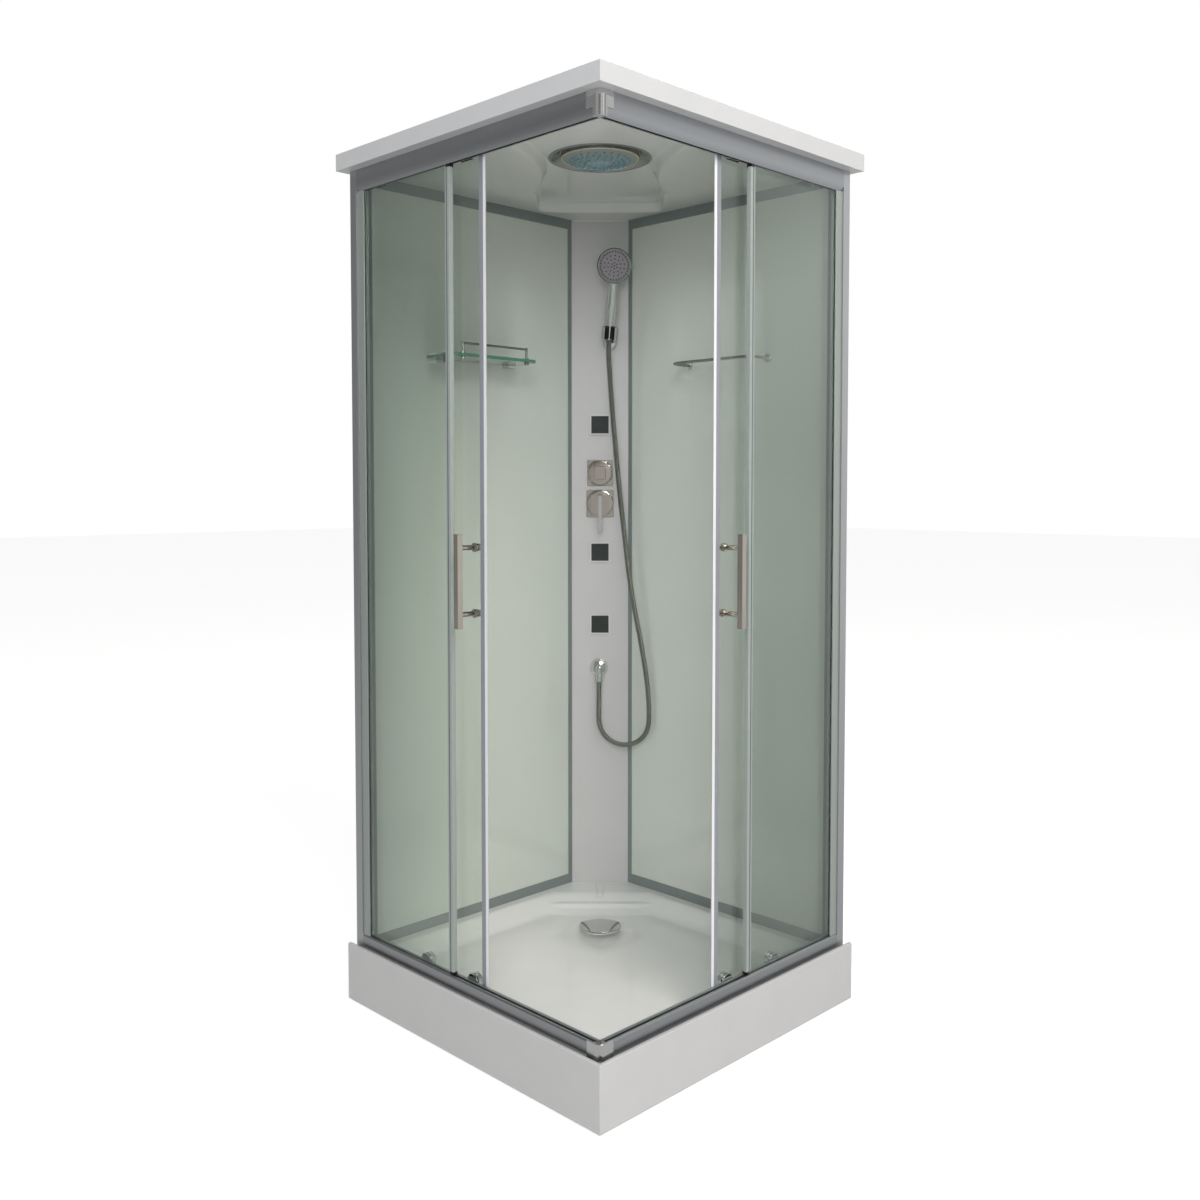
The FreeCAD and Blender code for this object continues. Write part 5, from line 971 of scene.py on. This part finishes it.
def set_camera():
    """The photograph's view: level with the chest, straight at the front corner."""
    lens = bpy.data.cameras.new("camera")
    camera = bpy.data.objects.new("camera", lens)
    bpy.context.scene.collection.objects.link(camera)
    bpy.context.scene.camera = camera
    camera.location = (2.0649, -2.0649, 1.2927)
    camera.rotation_euler = (math.radians(90 - 2.54), 0, math.radians(45))
    lens.lens = 35.267
    lens.sensor_width = 36
    lens.shift_y = -0.0503


def seen_directly(tree):
    """1 where a surface is seen by the camera, in a mirror or through glass, otherwise 0."""
    path = add_node(tree, "ShaderNodeLightPath").outputs
    total = maths(tree, "ADD", path["Is Camera Ray"], path["Is Glossy Ray"])
    return maths(tree, "MAXIMUM", total, path["Is Transmission Ray"])


def left_to_right(tree, place, reach):
    """Brightness that grows with (x + y) / root 2, from 0.28 at -reach to 0.74 at reach."""
    across = add_node(tree, "ShaderNodeVectorMath", {0: place, 1: (0.707, 0.707, 0)},
                      operation="DOT_PRODUCT")
    return mapped(tree, across.outputs["Value"], -reach, reach, 0.28, 0.74)


def room_brightness(tree):
    """How bright the surroundings are in mirrors: dim to the left, brighter right and behind.

    The direction is (x, y, z): the brightness grows with (x + y) / root 2, that is from left to
    right, and falls a little with z. Noise with marks about 20 degrees wide stands for the room; it
    fades out at the horizon, where the floor takes over.
    """
    place = add_node(tree, "ShaderNodeTexCoord").outputs["Generated"]
    level = left_to_right(tree, place, 0.9)
    height = add_node(tree, "ShaderNodeSeparateXYZ", {"Vector": place}).outputs["Z"]
    dim = mapped(tree, height, 0.1, 0.9, 1.0, 0.6)
    moved = add_node(tree, "ShaderNodeVectorMath", {0: place, 1: (6.5, 19.7, 6.4)},
                     operation="ADD")
    noise = add_node(tree, "ShaderNodeTexNoise", {"Vector": moved.outputs["Vector"], "Scale": 3.0,
                                                  "Detail": 3.0})
    room = mapped(tree, noise.outputs["Fac"], 0.38, 0.62, -0.55, 0.45)
    rise = mapped(tree, height, 0.02, 0.25, 0.0, 1.0, interpolation_type="SMOOTHSTEP")
    room = maths(tree, "MULTIPLY_ADD", room, rise, 1.0)
    return maths(tree, "MULTIPLY", maths(tree, "MULTIPLY", level, dim), room)


def set_floor():
    """A pale floor that keeps the cabin's shadow and ends in the white of the surroundings.

    In mirrors its brightness grows from left to right with (x + y) / root 2, as the room's does.
    """
    reach = 30
    mesh = bpy.data.meshes.new("floor")
    mesh.from_pydata([(-reach, -reach, 0), (reach, -reach, 0), (reach, reach, 0),
                      (-reach, reach, 0)], [], [(0, 1, 2, 3)])
    floor = bpy.data.objects.new("floor", mesh)
    bpy.context.scene.collection.objects.link(floor)
    made, tree, shader = new_material("pale_floor", roughness=0.9)
    tint(tree, shader, pattern(tree, 400), "E4E4E4", "E8E8E8")
    glow = maths(tree, "MULTIPLY", seen_directly(tree), 0.6)
    shader.inputs["Emission Color"].default_value = (1, 1, 1, 1)
    tree.links.new(glow, shader.inputs["Emission Strength"])
    path = add_node(tree, "ShaderNodeLightPath")
    place = add_node(tree, "ShaderNodeTexCoord").outputs["Object"]
    mirrored = add_node(tree, "ShaderNodeEmission", {"Color": (1, 1, 1, 1),
                                                     "Strength": left_to_right(tree, place, 12.0)})
    mix = add_node(tree, "ShaderNodeMixShader", {0: path.outputs["Is Glossy Ray"],
                                                 1: shader.outputs["BSDF"],
                                                 2: mirrored.outputs["Emission"]})
    output = tree.nodes["Material Output"]
    tree.links.new(mix.outputs["Shader"], output.inputs["Surface"])
    paint(floor, made)


def set_world():
    """Plain pale surroundings for the light, white for the camera, shaded a little in mirrors."""
    world = bpy.data.worlds.new("surroundings")
    bpy.context.scene.world = world
    world.use_nodes = True
    tree = world.node_tree
    tree.nodes.clear()
    path = add_node(tree, "ShaderNodeLightPath")
    soft = add_node(tree, "ShaderNodeBackground", {"Color": linear("F4F4F4"), "Strength": 0.48})
    white = add_node(tree, "ShaderNodeBackground", {"Color": (1, 1, 1, 1), "Strength": 1.0})
    room = add_node(tree, "ShaderNodeBackground", {"Color": (1, 1, 1, 1),
                                                   "Strength": room_brightness(tree)})
    shown = add_node(tree, "ShaderNodeMixShader", {0: path.outputs["Is Glossy Ray"],
                                                   1: white.outputs["Background"],
                                                   2: room.outputs["Background"]})
    mix = add_node(tree, "ShaderNodeMixShader", {0: seen_directly(tree),
                                                 1: soft.outputs["Background"],
                                                 2: shown.outputs["Shader"]})
    add_node(tree, "ShaderNodeOutputWorld", {"Surface": mix.outputs["Shader"]})


def add_lamp(name, place, aim, size, power, colour, in_mirrors=True):
    """A square soft light at a place, turned towards a point; mirrors show it or don't."""
    light = bpy.data.lights.new(name, "AREA")
    light.size = size
    light.energy = power
    light.color = linear(colour)[:3]
    lamp = bpy.data.objects.new(name, light)
    bpy.context.scene.collection.objects.link(lamp)
    lamp.visible_glossy = in_mirrors
    lamp.location = place
    away = np.array(place) - np.array(aim)
    across, level = math.atan2(away[1], away[0]), math.hypot(away[0], away[1])
    lamp.rotation_euler = (math.atan2(level, away[2]), 0, across + math.pi / 2)


set_camera()
set_floor()
set_world()
add_lamp("right_high", (5.0, -1.2, 5.5), (0, 0, 1), 3.4, 260, "FFFAF4")
add_lamp("front", (3.2, -3.6, 2.7), (0, 0, 1), 2.0, 90, "F8FBFF", False)
bpy.context.scene.view_settings.view_transform = "Standard"
